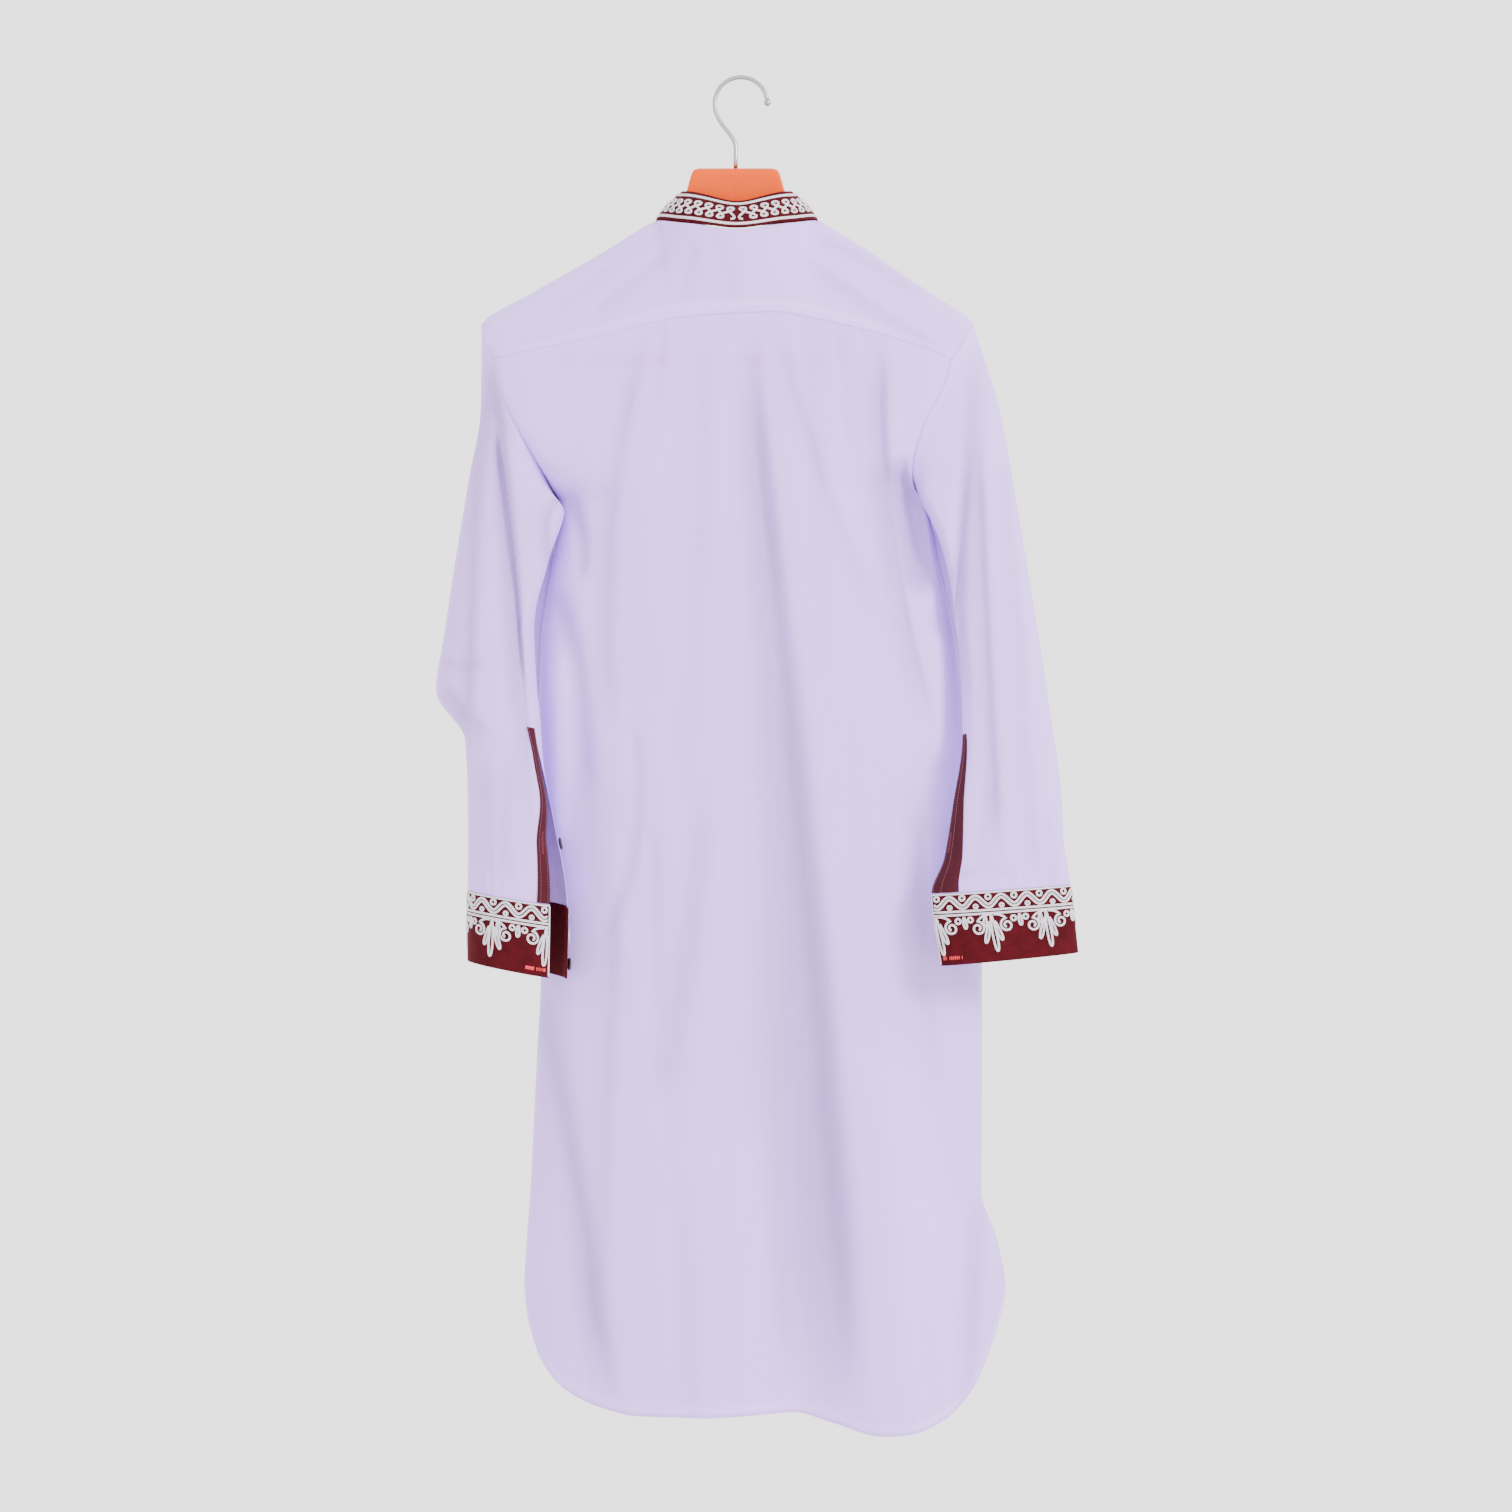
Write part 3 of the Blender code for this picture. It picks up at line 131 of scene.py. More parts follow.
Point = namedtuple("Point", "x drop")
YOKE_SEAM = (
    Point(-215, 248), Point(-124, 230), Point(-53, 214), Point(-8, 210.5), Point(30, 209),
    Point(60, 214), Point(113, 225.5), Point(158, 239), Point(183, 248),
)
SHOULDER_LINE = (
    Point(-227, 217), Point(-222, 211), Point(-212, 204.5), Point(-194, 195),
    Point(-159, 175), Point(-124, 154.5), Point(-78, 126), Point(-40, 106), Point(35, 106),
    Point(67, 124), Point(105, 147), Point(140, 171), Point(171, 192),
    Point(188, 203), Point(198, 210), Point(203, 216),
)
HEM = (
    Point(-190, 1060), Point(-185, 1090), Point(-171, 1125), Point(-149, 1147),
    Point(-118, 1160), Point(-89, 1165.5), Point(-41, 1166), Point(44, 1161), Point(80, 1171),
    Point(121, 1181), Point(148, 1179), Point(179, 1167), Point(200, 1147),
    Point(219, 1106), Point(232, 1065),
)
Ring = namedtuple("Ring", "angle neck_drop top_drop")
NECK_DROPS = (
    Ring(-50, 131, 101), Ring(0, 138, 111), Ring(50, 131, 101), Ring(85, 125, 97), Ring(105, 136, 102),
    Ring(140, 168, 136), Ring(180, 187, 160),
)
Arm = namedtuple("Arm", "reach half_thick")
ARM_THICKNESS = (
    Arm(0, 8), Arm(60, 8), Arm(75, 8.5), Arm(120, 11), Arm(160, 16), Arm(185, 19), Arm(240, 19),
)
Block = namedtuple("Block", "reach drop")
BLOCK_OUTLINE = (
    Block(0, 78.3), Block(33, 78.4), Block(36.5, 79.6), Block(38.6, 82.6), Block(40.3, 88),
    Block(43.5, 99), Block(48, 108.5),
)
Sleeve = namedtuple("Sleeve", "outer_x outer_drop outer_y inner_x inner_drop inner_y half_depth")
SLEEVES = {
    -1: (
        Sleeve(-227, 218, -2, -160, 373, 0, 34),
        Sleeve(-228, 290, -4, -168, 400, -12, 36),
        Sleeve(-238, 352, -10, -173, 430, -20, 36),
        Sleeve(-249, 425, -22, -181, 465, -30, 34),
        Sleeve(-258, 492, -34, -178, 525, -42, 34),
        Sleeve(-264, 538, -42, -174, 562, -50, 35),
        Sleeve(-238, 582, -50, -171, 600, -56, 35),
        Sleeve(-235, 640, -58, -161, 652, -62, 35),
        Sleeve(-234, 712, -66, -149, 726, -68, 36),
        Sleeve(-234, 771, -68, -150, 787, -70, 36),
    ),
    1: (
        Sleeve(203, 215, -2, 162, 370, 0, 34),
        Sleeve(227, 292, -4, 174, 398, -10, 34),
        Sleeve(240, 366, -12, 181, 428, -20, 31),
        Sleeve(250, 430, -22, 188, 466, -32, 29),
        Sleeve(260, 500, -36, 191, 522, -46, 27),
        Sleeve(268, 560, -48, 192, 578, -56, 25),
        Sleeve(276, 624, -59, 183, 638, -66, 22),
        Sleeve(278, 670, -66, 175, 684, -72, 19),
        Sleeve(283, 707, -71, 164, 715, -76, 17),
        Sleeve(289, 764, -74, 172, 775, -79, 17),
    ),
}
# Angle round the sleeve of each slit's near edge, and how far the slit is open there. The
# first row lies above the slit, whose top is the second one, and the last at the cuff's edge
Slit = namedtuple("Slit", "drop near_angle opening")
SLITS = {
    -1: (
        Slit(380, 147.3, 0), Slit(562, 152, 0), Slit(617, 158, 24), Slit(668, 138, 44),
        Slit(726, 131, 51), Slit(787, 131, 51),
    ),
    1: (
        Slit(380, 163.6, 0), Slit(568, 172, 0), Slit(640, 172, 12), Slit(715, 172, 16),
        Slit(775, 172, 16),
    ),
}

# A crease is a trough along a curve through three places. Its lean makes one side steeper.
Crease = namedtuple("Crease", "x0 drop0 x1 drop1 x2 drop2 width0 width1 depth0 depth1 lean")
BACK_CREASES = (
    Crease(-80, 215, -116, 400, -112, 590, 9, 12, 5, 3, 0.3),
    Crease(0, 205, 42, 625, 96, 1240, 9, 30, 6, 24, 0.3),
    Crease(25, 205, 72, 368, 128, 500, 9, 9, 4, 2, 0.3),
    Crease(122, 220, 129, 400, 170, 590, 11, 10, 8, 5, 0.5),
    Crease(136, 330, 150, 400, 158, 462, 17, 15, 16, 10, 0.2),
    Crease(172, 480, 174, 540, 172, 610, 11, 12, -7, -7, 0),
    Crease(-166, 440, -142, 522, -134, 650, 9, 10, 6, 4, 0.2),
    Crease(-160, 490, -162, 590, -160, 690, 12, 13, -6, -5, 0),
    Crease(-174, 780, -147, 940, -112, 1180, 10, 13, 6, 10, 0.3),
    Crease(-34, 600, -53, 785, -80, 900, 12, 14, 3, 4, 0),
    Crease(208, 960, 197, 1090, 186, 1220, 9, 12, 5, 8, 0),
    Crease(110, 820, 135, 1010, 150, 1260, 34, 48, -6, -20, 0),
    Crease(-20, 900, -10, 1050, -5, 1250, 40, 45, -3, -9, 0),
    Crease(-64, 206, -71, 271, -80, 345, 5, 6, 2.2, 1.2, 0.4),
    Crease(82, 206, 87, 271, 94, 345, 5, 6, 2.4, 1.4, -0.4),
    Crease(-97, 550, -91, 664, -126, 765, 6, 8, 2.4, 2.2, 0.3),
    Crease(-80, 640, -75, 745, -71, 850, 6, 8, 1.8, 1.8, -0.2),
    Crease(12, 206, 20, 330, 36, 480, 5, 6, 1.8, 1.2, 0.4),
    Crease(-152, 355, -137, 408, -143, 445, 7, 6, 6, 3, 0.3),
    Crease(-30, 206, -37, 420, -50, 650, 8, 11, 2.0, 1.2, 0.3),
    Crease(54, 208, 62, 360, 68, 570, 7, 9, 2.0, 1.2, -0.3),
    Crease(-110, 690, -119, 900, -131, 1130, 9, 13, 2.2, 3.4, 0.3),
    Crease(150, 600, 160, 760, 169, 940, 9, 12, 2.6, 2.2, 0.3),
    Crease(16, 690, 26, 900, 33, 1190, 11, 16, 1.8, 4.0, 0.3),
    Crease(-57, 960, -50, 1080, -44, 1190, 9, 13, 1.5, 4.0, 0.2),
    Crease(146, 980, 158, 1090, 164, 1210, 9, 13, 1.5, 4.0, -0.2),
    Crease(96, 907, 146, 903, 197, 902, 2.4, 2.4, 0.8, 0.8, 0),
    Crease(138, 929, 167, 928, 196, 928, 2.4, 2.4, 0.7, 0.7, 0),
    Crease(4, 1137, 36, 1131, 66, 1125, 3, 3, 1.0, 0.8, 0),
)
FRONT_CREASES = (
    Crease(-96, 210, -110, 420, -100, 720, 10, 14, 6, 4, 0.3),
    Crease(72, 200, 96, 430, 118, 760, 10, 16, 7, 5, 0.3),
    Crease(-60, 560, -76, 860, -92, 1240, 12, 26, 4, 16, -0.3),
    Crease(52, 620, 66, 900, 84, 1240, 12, 24, 4, 14, 0.3),
    Crease(150, 760, 158, 960, 165, 1240, 12, 18, 4, 10, 0),
    Crease(-150, 380, -136, 470, -128, 640, 8, 10, 5, 3, 0.3),
    Crease(150, 400, 158, 500, 170, 640, 8, 10, 5, 3, -0.3),
    Crease(-46, 240, -52, 360, -60, 520, 6, 8, 2.4, 1.4, 0.3),
    Crease(38, 240, 44, 380, 50, 560, 6, 8, 2.4, 1.4, -0.3),
    Crease(-140, 720, -146, 900, -150, 1140, 9, 13, 3, 4, 0.3),
    Crease(-6, 680, -2, 900, 4, 1190, 10, 16, 2, 4, 0.2),
    Crease(112, 820, 120, 980, 126, 1200, 9, 14, 2, 4, -0.2),
)
YOKE_CREASES = (
    Crease(50, 158, 116, 206, 186, 252, 6, 7, 3.2, 2.4, 0.4),
    Crease(-56, 146, -108, 192, -128, 212, 7, 7, 2.2, 1.4, -0.4),
    Crease(-22, 138, -14, 172, -6, 206, 8, 8, 1.6, 1.2, 0),
    Crease(58, 140, 104, 158, 172, 203, 4.5, 5, 1.9, 1.4, 0.4),
    Crease(-38, 146, -46, 174, -54, 203, 6, 6, 1.3, 0.9, 0),
    Crease(-72, 138, -120, 170, -172, 214, 5, 6, 1.3, 1.0, -0.4),
)
SLEEVE_CREASES = {
    -1: (
        Crease(-219, 255, -199, 400, -177, 700, 7, 7, 7, 5, 0.5),
        Crease(-214, 300, -198, 410, -186, 548, 2.6, 2.6, 6, 6, 0.8),
        Crease(-219, 265, -231, 400, -236, 640, 6, 8, 4.5, 4.5, 0.3),
        Crease(-215, 290, -200, 460, -190, 570, 6, 6, 4, 3, 0.4),
        Crease(-219, 246, -209, 286, -195, 330, 5, 5, 3.5, 2.5, 0.3),
        Crease(-155, 372, -166, 390, -167, 430, 4, 3.4, 8, 6, 0.4),
        Crease(-258, 532, -236, 560, -216, 574, 6, 7, 4, 2, 0.3),
        Crease(-262, 510, -240, 520, -222, 512, 6, 7, 2.5, 1.5, 0),
        Crease(-220, 600, -217, 650, -214, 705, 6, 7, 2, 2, 0.2),
        Crease(-200, 590, -203, 650, -204, 708, 6, 6, 1.8, 2, -0.2),
    ),
    1: (
        Crease(203, 228, 190, 400, 187, 520, 8, 8, 6, 4, -0.5),
        Crease(197, 320, 190, 450, 193, 556, 2.6, 2.6, 5, 5, -0.8),
        Crease(205, 300, 211, 500, 220, 700, 7, 8, 5, 5, 0.4),
        Crease(183, 704, 206, 692, 240, 698, 4, 5, 2.4, 1.6, 0),
        Crease(226, 320, 236, 440, 244, 600, 7, 9, 2.6, 2.4, 0.3),
        Crease(240, 560, 246, 630, 250, 706, 7, 8, 2, 2.6, 0.3),
        Crease(212, 610, 206, 660, 197, 690, 6, 7, 2, 2, -0.3),
        Crease(262, 640, 266, 680, 268, 710, 5, 6, 1.4, 1.8, 0),
    ),
}
SLEEVE_FRONT_CREASES = (
    Crease(-214, 280, -212, 450, -206, 690, 11, 10, 6, 4, 0.3),
    Crease(216, 280, 226, 460, 232, 680, 11, 10, 6, 4, -0.3),
    Crease(-230, 330, -236, 470, -226, 690, 7, 8, 3, 2.5, -0.3),
    Crease(238, 340, 248, 480, 256, 690, 7, 8, 3, 2.5, 0.3),
)
CREASE_STEPS = 12

# A fold at each side seam, behind the sleeve: the front's cloth bulges out past the seam
SideFold = namedtuple("SideFold", "start end reach")
SIDE_FOLDS = {-1: SideFold(392, 680, 20), 1: SideFold(370, 590, 15)}

# A bulge pushes a sleeve's cloth by a vector, about an angle of its ring and a drop
Bulge = namedtuple("Bulge", "angle angle_width drop drop_width push_x push_y")
BULGES = {
    -1: (Bulge(158, 30, 388, 34, 15, -20), Bulge(165, 26, 452, 24, 5, -6)),
    1: (Bulge(150, 30, 392, 40, -5, -12), Bulge(160, 30, 470, 34, -4, -8)),
}

# Grids: points across or round each piece, and down it
BACK_GRID = (132, 212)
FRONT_GRID = (104, 156)
YOKE_GRID = (40, 36, 26, 26)
SLEEVE_GRID = (112, 136)
COLLAR_GRID = (181, 14)
CUFF_GRID = (121, 22)
CROWDING = 1.15

# Repeats, in mm: weave drawn coarser than the cloth's 0.3 mm so that it shows
WEAVE_PITCH = 0.95
SLUB_WIDTH = 2.2
SLUB_LENGTH = 150.0
NAP_PATCH = 9.0
TWILL_PITCH = 0.9
BRAID_PLAIT = 1.1
GROOVE = 0.35

# Braid charts, in mm
COLLAR_UNIT = 9.7
COLLAR_SWING = 7.0
COLLAR_LOOP = 0.4
COLLAR_SLANT = 0.28
CUFF_WAVE = 22.0
CUFF_SWING = 4.0
CUFF_RING = 2.1
CUFF_LINE = 20.5
PENDANT_PITCH = 47.0


# Curves

def through(knots, values, at):
    """Smooth curve through the knots that never overshoots them.

    Between two knots it is the cubic whose slopes are the harmonic means of the
    slopes on either side, or level where those turn.
    """
    knots = np.asarray(knots, float)
    values = np.asarray(values, float)
    at = np.clip(at, knots[0], knots[-1])
    step = np.diff(knots)
    slope = np.diff(values) / step
    product = slope[:-1] * slope[1:]
    total = slope[:-1] + slope[1:]
    inner = np.where(product > 0, 2 * product / np.where(total == 0, 1, total), 0)
    slopes = np.concatenate([slope[:1], inner, slope[-1:]])
    i = np.clip(np.searchsorted(knots, at, side="right") - 1, 0, len(knots) - 2)
    f = (at - knots[i]) / step[i]
    start = values[i] * (1 + 2 * f) * (1 - f) ** 2 + step[i] * slopes[i] * f * (1 - f) ** 2
    end = values[i + 1] * f ** 2 * (3 - 2 * f) + step[i] * slopes[i + 1] * f ** 2 * (f - 1)
    return start + end


def columns(table):
    """The columns of a table, each as an array."""
    return np.array(table, float).T


def ease(value):
    """0 below 0, 1 above 1, and a smooth step between."""
    value = np.clip(value, 0.0, 1.0)
    return value * value * (3 - 2 * value)


def bell(value):
    """1 at 0, falling off on both sides as exp of minus the square."""
    return np.exp(-value ** 2)


def points(x, y, z):
    """Grid of points from three arrays of one shape."""
    return np.stack(np.broadcast_arrays(x, y, z), axis=-1).astype(float)


def relief(x, drop, creases):
    """Depth of all creases at a place on the cloth, seen flat from behind or in front.

    Depth is a bell of the distance from the crease's curve, steeper on one side by
    its lean, and fades at both ends.
    """
    total = np.zeros(np.broadcast(x, drop).shape)
    t = np.linspace(0, 1, CREASE_STEPS + 1)
    first, middle, last = (1 - t) * (1 - 2 * t), 4 * t * (1 - t), t * (2 * t - 1)
    for c in creases:
        path_x = first * c.x0 + middle * c.x1 + last * c.x2
        path_d = first * c.drop0 + middle * c.drop1 + last * c.drop2
        nearest = np.full(total.shape, np.inf)
        along = np.zeros(total.shape)
        hand = np.zeros(total.shape)
        for i in range(CREASE_STEPS):
            run_x = path_x[i + 1] - path_x[i]
            run_d = path_d[i + 1] - path_d[i]
            f = ((x - path_x[i]) * run_x + (drop - path_d[i]) * run_d) / (run_x ** 2 + run_d ** 2)
            f = np.clip(f, 0, 1)
            off_x, off_d = x - path_x[i] - f * run_x, drop - path_d[i] - f * run_d
            distance = np.hypot(off_x, off_d)
            closer = distance < nearest
            along = np.where(closer, (i + f) / CREASE_STEPS, along)
            hand = np.where(closer, np.sign(off_x * run_d - off_d * run_x), hand)
            nearest = np.minimum(distance, nearest)
        width = (c.width0 + (c.width1 - c.width0) * along) * (1 - c.lean * hand)
        depth = c.depth0 + (c.depth1 - c.depth0) * along
        total += depth * ease(np.minimum(along, 1 - along) / 0.2) * bell(nearest / width)
    return total


def rumple(x, drop, seed, size=1.0):
    """Faint unevenness of hung cloth: a sum of long, mostly upright waves, in mm."""
    chance = np.random.default_rng(seed)
    total = np.zeros(np.broadcast(x, drop).shape)
    for length in np.linspace(16, 88, 13):
        tilt = chance.normal(0, 0.22)
        bend, phase, other = chance.uniform(0, 2 * math.pi, 3)
        across = x * math.cos(tilt) + drop * math.sin(tilt)
        sway = 0.9 * np.sin(drop / 130 + bend)
        patch = 0.5 + 0.5 * np.sin(drop / (90 + length) + x / 70 + other)
        total += 0.0052 * length * patch * np.sin(2 * math.pi * across / length + phase + sway)
    return total * size


def normals(grid):
    """Unit normals of a grid, from the run of its rows and columns."""
    down = np.gradient(grid, axis=0)
    across = np.gradient(grid, axis=1)
    normal = np.cross(down, across)
    return normal / np.maximum(np.linalg.norm(normal, axis=-1, keepdims=True), 1e-9)


def away(strip, around):
    """Unit normals of a strip that point away from the middle of the piece it lies on."""
    normal = normals(strip)
    middle = around.reshape(-1, 3).mean(axis=0)
    middle = np.array([middle[0], middle[1], strip[..., 2].mean()])
    return normal * np.sign(((strip - middle) * normal).sum(axis=-1).mean())


def on_grid(grid, row, column):
    """Value of a grid at a row and column that may lie between its own."""
    row, column = np.broadcast_arrays(row, column)
    r = np.clip(np.floor(row).astype(int), 0, grid.shape[0] - 2)
    c = np.clip(np.floor(column).astype(int), 0, grid.shape[1] - 2)
    fr, fc = (row - r)[..., None], (column - c)[..., None]
    upper = grid[r, c] * (1 - fc) + grid[r, c + 1] * fc
    lower = grid[r + 1, c] * (1 - fc) + grid[r + 1, c + 1] * fc
    return upper * (1 - fr) + lower * fr


def resample(path, shares):
    """Points at shares of a path's length."""
    steps = np.linalg.norm(np.diff(path, axis=0), axis=1)
    run = np.concatenate([[0], np.cumsum(steps)])
    return np.stack([np.interp(shares * run[-1], run, path[:, k]) for k in range(3)], axis=-1)


# Body of the kurta

def section(across, drop, side):
    """Half of the body's section: side -1 is the back and 1 the front.

    `across` runs from -1 at the left edge to 1 at the right one. The half is a
    rounded arch from edge to edge, as deep as the body is there.
    """
    drops, xs, rims = columns(LEFT_EDGE)
    left_x, left_rim = through(drops, xs, drop), through(drops, rims, drop)
    drops, xs, rims = columns(RIGHT_EDGE)
    right_x, right_rim = through(drops, xs, drop), through(drops, rims, drop)
    share = (1 + across) / 2
    rim = left_rim + (right_rim - left_rim) * share
    levels, back, front = columns(BODY_DEPTH)
    depth = through(levels, back if side < 0 else front, drop)
    arch = np.clip(1 - np.abs(across) ** BODY_ROUND, 0, 1) ** (1 / BODY_ROUND)
    return points(left_x + (right_x - left_x) * share, side * (rim + (depth - rim) * arch), -drop)


def seam_drop(across):
    """Drop of the curved yoke seam at a share across the body."""
    seam_x, drops = columns(YOKE_SEAM)
    return through(seam_x, drops, seam_x_at(across))


def hem_drop(across):
    """Drop of the rounded shirt-tail hem at a share across the body."""
    hem_x, drops = columns(HEM)
    x = hem_x[0] + (hem_x[-1] - hem_x[0]) * (1 + across) / 2
    return through(hem_x, drops, x)


def seam_x_at(across):
    """x along the yoke seam at a share across the body."""
    seam_x, _ = columns(YOKE_SEAM)
    return seam_x[0] + (seam_x[-1] - seam_x[0]) * (1 + across) / 2


def across_at(x):
    """Share across the body whose column starts at x on the yoke seam."""
    seam_x, _ = columns(YOKE_SEAM)
    return 2 * (x - seam_x[0]) / (seam_x[-1] - seam_x[0]) - 1


def spread(count):
    """Shares across a panel, closer together at its edges: the sine of an even run."""
    even = np.linspace(-1, 1, count)
    return 0.55 * np.sin(even * math.pi / 2) + 0.45 * even


def back_surface(across, drop):
    """Back of the body: its section, with creases that fade at its edges and seam."""
    top = seam_drop(across)
    grid = section(across, drop, -1)
    fade = ease((1 - np.abs(across)) / 0.05) * ease((drop - top) / 25)
    soft = ease((1 - np.abs(across)) / 0.12) * ease((drop - top) / 40)
    x = grid[..., 0].copy()
    grid[..., 1] += fade * relief(x, drop, BACK_CREASES) + soft * rumple(x, drop, 3)
    return grid


def neck_loop(angle, half_x, back_y, front_y, drops, power):
    """Loop round the neck at an angle in degrees from its back centre.

    Seen from above it is the curve where the powers of x and y over their halves
    add up to one: an ellipse at power 2, squarer above it.
    """
    turn = np.radians(angle)
    half_y = (front_y - back_y) / 2
    total = np.abs(np.sin(turn) / half_x) ** power + np.abs(np.cos(turn) / half_y) ** power
    reach = total ** (-1 / power)
    drop = through(columns(NECK_DROPS)[0], drops, np.abs(angle))
    return points(NECK_X + reach * np.sin(turn), (back_y + front_y) / 2 - reach * np.cos(turn), -drop)


def neck_ring(angle):
    """Neck seam: an ellipse that dips in front."""
    return neck_loop(angle, NECK_HALF, NECK_BACK_Y, NECK_FRONT_Y, columns(NECK_DROPS)[1], 2)


def collar_ring(angle):
    """Top edge of the collar: squarer, as it bends round the hanger's neck block."""
    drops = columns(NECK_DROPS)[2]
    return neck_loop(
        angle, COLLAR_TOP_HALF, COLLAR_TOP_BACK_Y, COLLAR_TOP_FRONT_Y, drops, COLLAR_TOP_SQUARE,
    )


def ridge_drop(x):
    """Drop of the shoulder line, the top of the cloth over the hanger's arms."""
    xs, drops = columns(SHOULDER_LINE)
    return through(xs, drops, x)


def arm_half(x):
    """Half the thickness of the hanger's arm at x."""
    reach, half = columns(ARM_THICKNESS)
    return through(reach, half, np.abs(x - HANGER_X))


def arm_y(x):
    """Middle of the hanger's arm, which sweeps back towards its ends."""
    return -ARM_SWEEP * ((x - HANGER_X) / HANGER_HALF) ** 2


def neck_corner():
    """Where the shoulder seam meets the neck, on the right."""
    return neck_ring(np.array([NECK_SEAM_ANGLE]))[0]


def shoulder(across):
    """Shoulder columns outside the neck: x over the ridge, and the seam in front of it."""
    x = seam_x_at(across)
    side = np.sign(x - NECK_X)
    line_x, _ = columns(SHOULDER_LINE)
    tip_x = np.where(side < 0, seam_x_at(-1), seam_x_at(1))
    foot = NECK_X + side * NECK_FOOT
    out = np.clip((x - foot) / (tip_x - foot), 0, 1)
    corner = neck_corner()
    near = NECK_X + side * NECK_HALF
    ridge_x = near + (np.where(side < 0, line_x[0], line_x[-1]) - near) * out
    corner_fall = -corner[2] - ridge_drop(near)
    inset = NECK_HALF - (corner[0] - NECK_X)
    seam = points(
        ridge_x - side * (inset + (SEAM_TIP_IN - inset) * out),
        corner[1] + (SEAM_TIP_Y - corner[1]) * out + arm_y(ridge_x) - arm_y(near),
        -(ridge_drop(ridge_x) + corner_fall + (SEAM_TIP_FALL - corner_fall) * out),
    )
    return ridge_x, seam


def over_arm(start, end, ridge_x, back_rows, strap_rows):
    """Cloth pulled taut from start to end over the round top of the hanger's arm.

    It is a straight line to where it meets a circle round the arm, the circle's
    arc, and a straight line on. The back rows lie before the arc, the strap's after.
    """
    radius = arm_half(ridge_x) + SHOULDER_EASE
    centre_y = arm_y(ridge_x)
    centre_z = -ridge_drop(ridge_x) - radius
    ends = []
    for point in (start, end):
        y, z = point[..., 1] - centre_y, point[..., 2] - centre_z
        distance = np.maximum(np.hypot(y, z), radius + 0.01)
        run = np.sqrt(distance ** 2 - radius ** 2)
        ends.append((np.arctan2(y, z), np.arccos(radius / distance), run))
    (angle_0, turn_0, run_0), (angle_1, turn_1, run_1) = ends
    first, last = angle_0 + turn_0, angle_1 - turn_1
    arc = radius * np.maximum(last - first, 0)
    before_rows = np.linspace(0, 1, back_rows)[:, None] * run_0
    after_rows = run_0 + np.linspace(0, 1, strap_rows + 1)[1:, None] * (arc + run_1)
    gone = np.concatenate([before_rows, after_rows])
    angle = first + np.clip(gone - run_0, 0, arc) / radius
    before = np.clip(run_0 - gone, 0, None)
    after = np.clip(gone - run_0 - arc, 0, None)
    y = centre_y + radius * np.sin(angle) - before * np.cos(first) + after * np.cos(last)
    z = centre_z + radius * np.cos(angle) + before * np.sin(first) - after * np.sin(last)
    top = run_0 - radius * first
    rise = np.sin(np.clip(gone / top, 0, 1) * math.pi / 2)
    fall = 1 - np.cos(np.clip((gone - top) / (run_0 + arc + run_1 - top), 0, 1) * math.pi / 2)
    x = start[..., 0] + (ridge_x - start[..., 0]) * rise + (end[..., 0] - ridge_x) * fall
    return points(x, y, z)


@functools.lru_cache(maxsize=None)
def yoke_points(shoulder_columns, neck_columns, back_rows, strap_rows):
    """Yoke: a back part up to the neck, and a strap over each shoulder.

    Both are one grid, whose strap rows are used only outside the neck. The straps'
    inner columns follow the neck ring over the arms.
    """
    foot_left, foot_right = across_at(NECK_X - NECK_FOOT), across_at(NECK_X + NECK_FOOT)
    crowd = 1 - np.cos(np.linspace(0, 1, shoulder_columns) * math.pi / 2)
    left = -1 + (foot_left + 1) * crowd
    right = 1 - (1 - foot_right) * crowd
    middle = np.linspace(foot_left, foot_right, neck_columns + 2)[1:-1]
    across = np.concatenate([left, middle, right[::-1]])[None, :]
    start = section(across, seam_drop(across) + YOKE_LAP, -1)
    ridge_x, end = shoulder(across)
    grid = over_arm(start, end, ridge_x, back_rows, strap_rows)
    neck = slice(shoulder_columns - 1, len(left) + len(middle) + 1)
    angle = (seam_x_at(across[0, neck]) - NECK_X) / NECK_FOOT * NECK_STRAP_ANGLE
    up = np.linspace(0, 1, back_rows)[:, None, None]
    grid[:back_rows, neck] = start[:, neck] + (neck_ring(angle) - start[:, neck]) * up
    around = np.linspace(NECK_STRAP_ANGLE, NECK_SEAM_ANGLE, strap_rows + 1)
    grid[back_rows - 1:, shoulder_columns - 1] = neck_ring(-around)
    grid[back_rows - 1:, -shoulder_columns] = neck_ring(around)
    row = np.arange(len(grid))[:, None]
    fade = ease(row / 4) * ease((back_rows - 1 - row) / 4) * ease((1 - np.abs(across)) / 0.05)
    x, drop = grid[..., 0].copy(), -grid[..., 2]
    grid[..., 1] += fade * (relief(x, drop, YOKE_CREASES) + rumple(x, drop, 5, 0.6))
    lap = ease(1 - row / (0.2 * back_rows)) * ease((1 - np.abs(across)) / 0.02)
    grid[..., 1] -= lap * 0.7
    return grid


def yoke_faces(shoulder_columns, neck_columns, back_rows, strap_rows):
    """Which quads of the yoke's grid are cloth: all in the back part, only the straps above."""
    kept = np.ones((back_rows + strap_rows - 1, 2 * shoulder_columns + neck_columns - 1), bool)
    kept[back_rows - 1:, shoulder_columns - 1:shoulder_columns + neck_columns] = False
    return kept


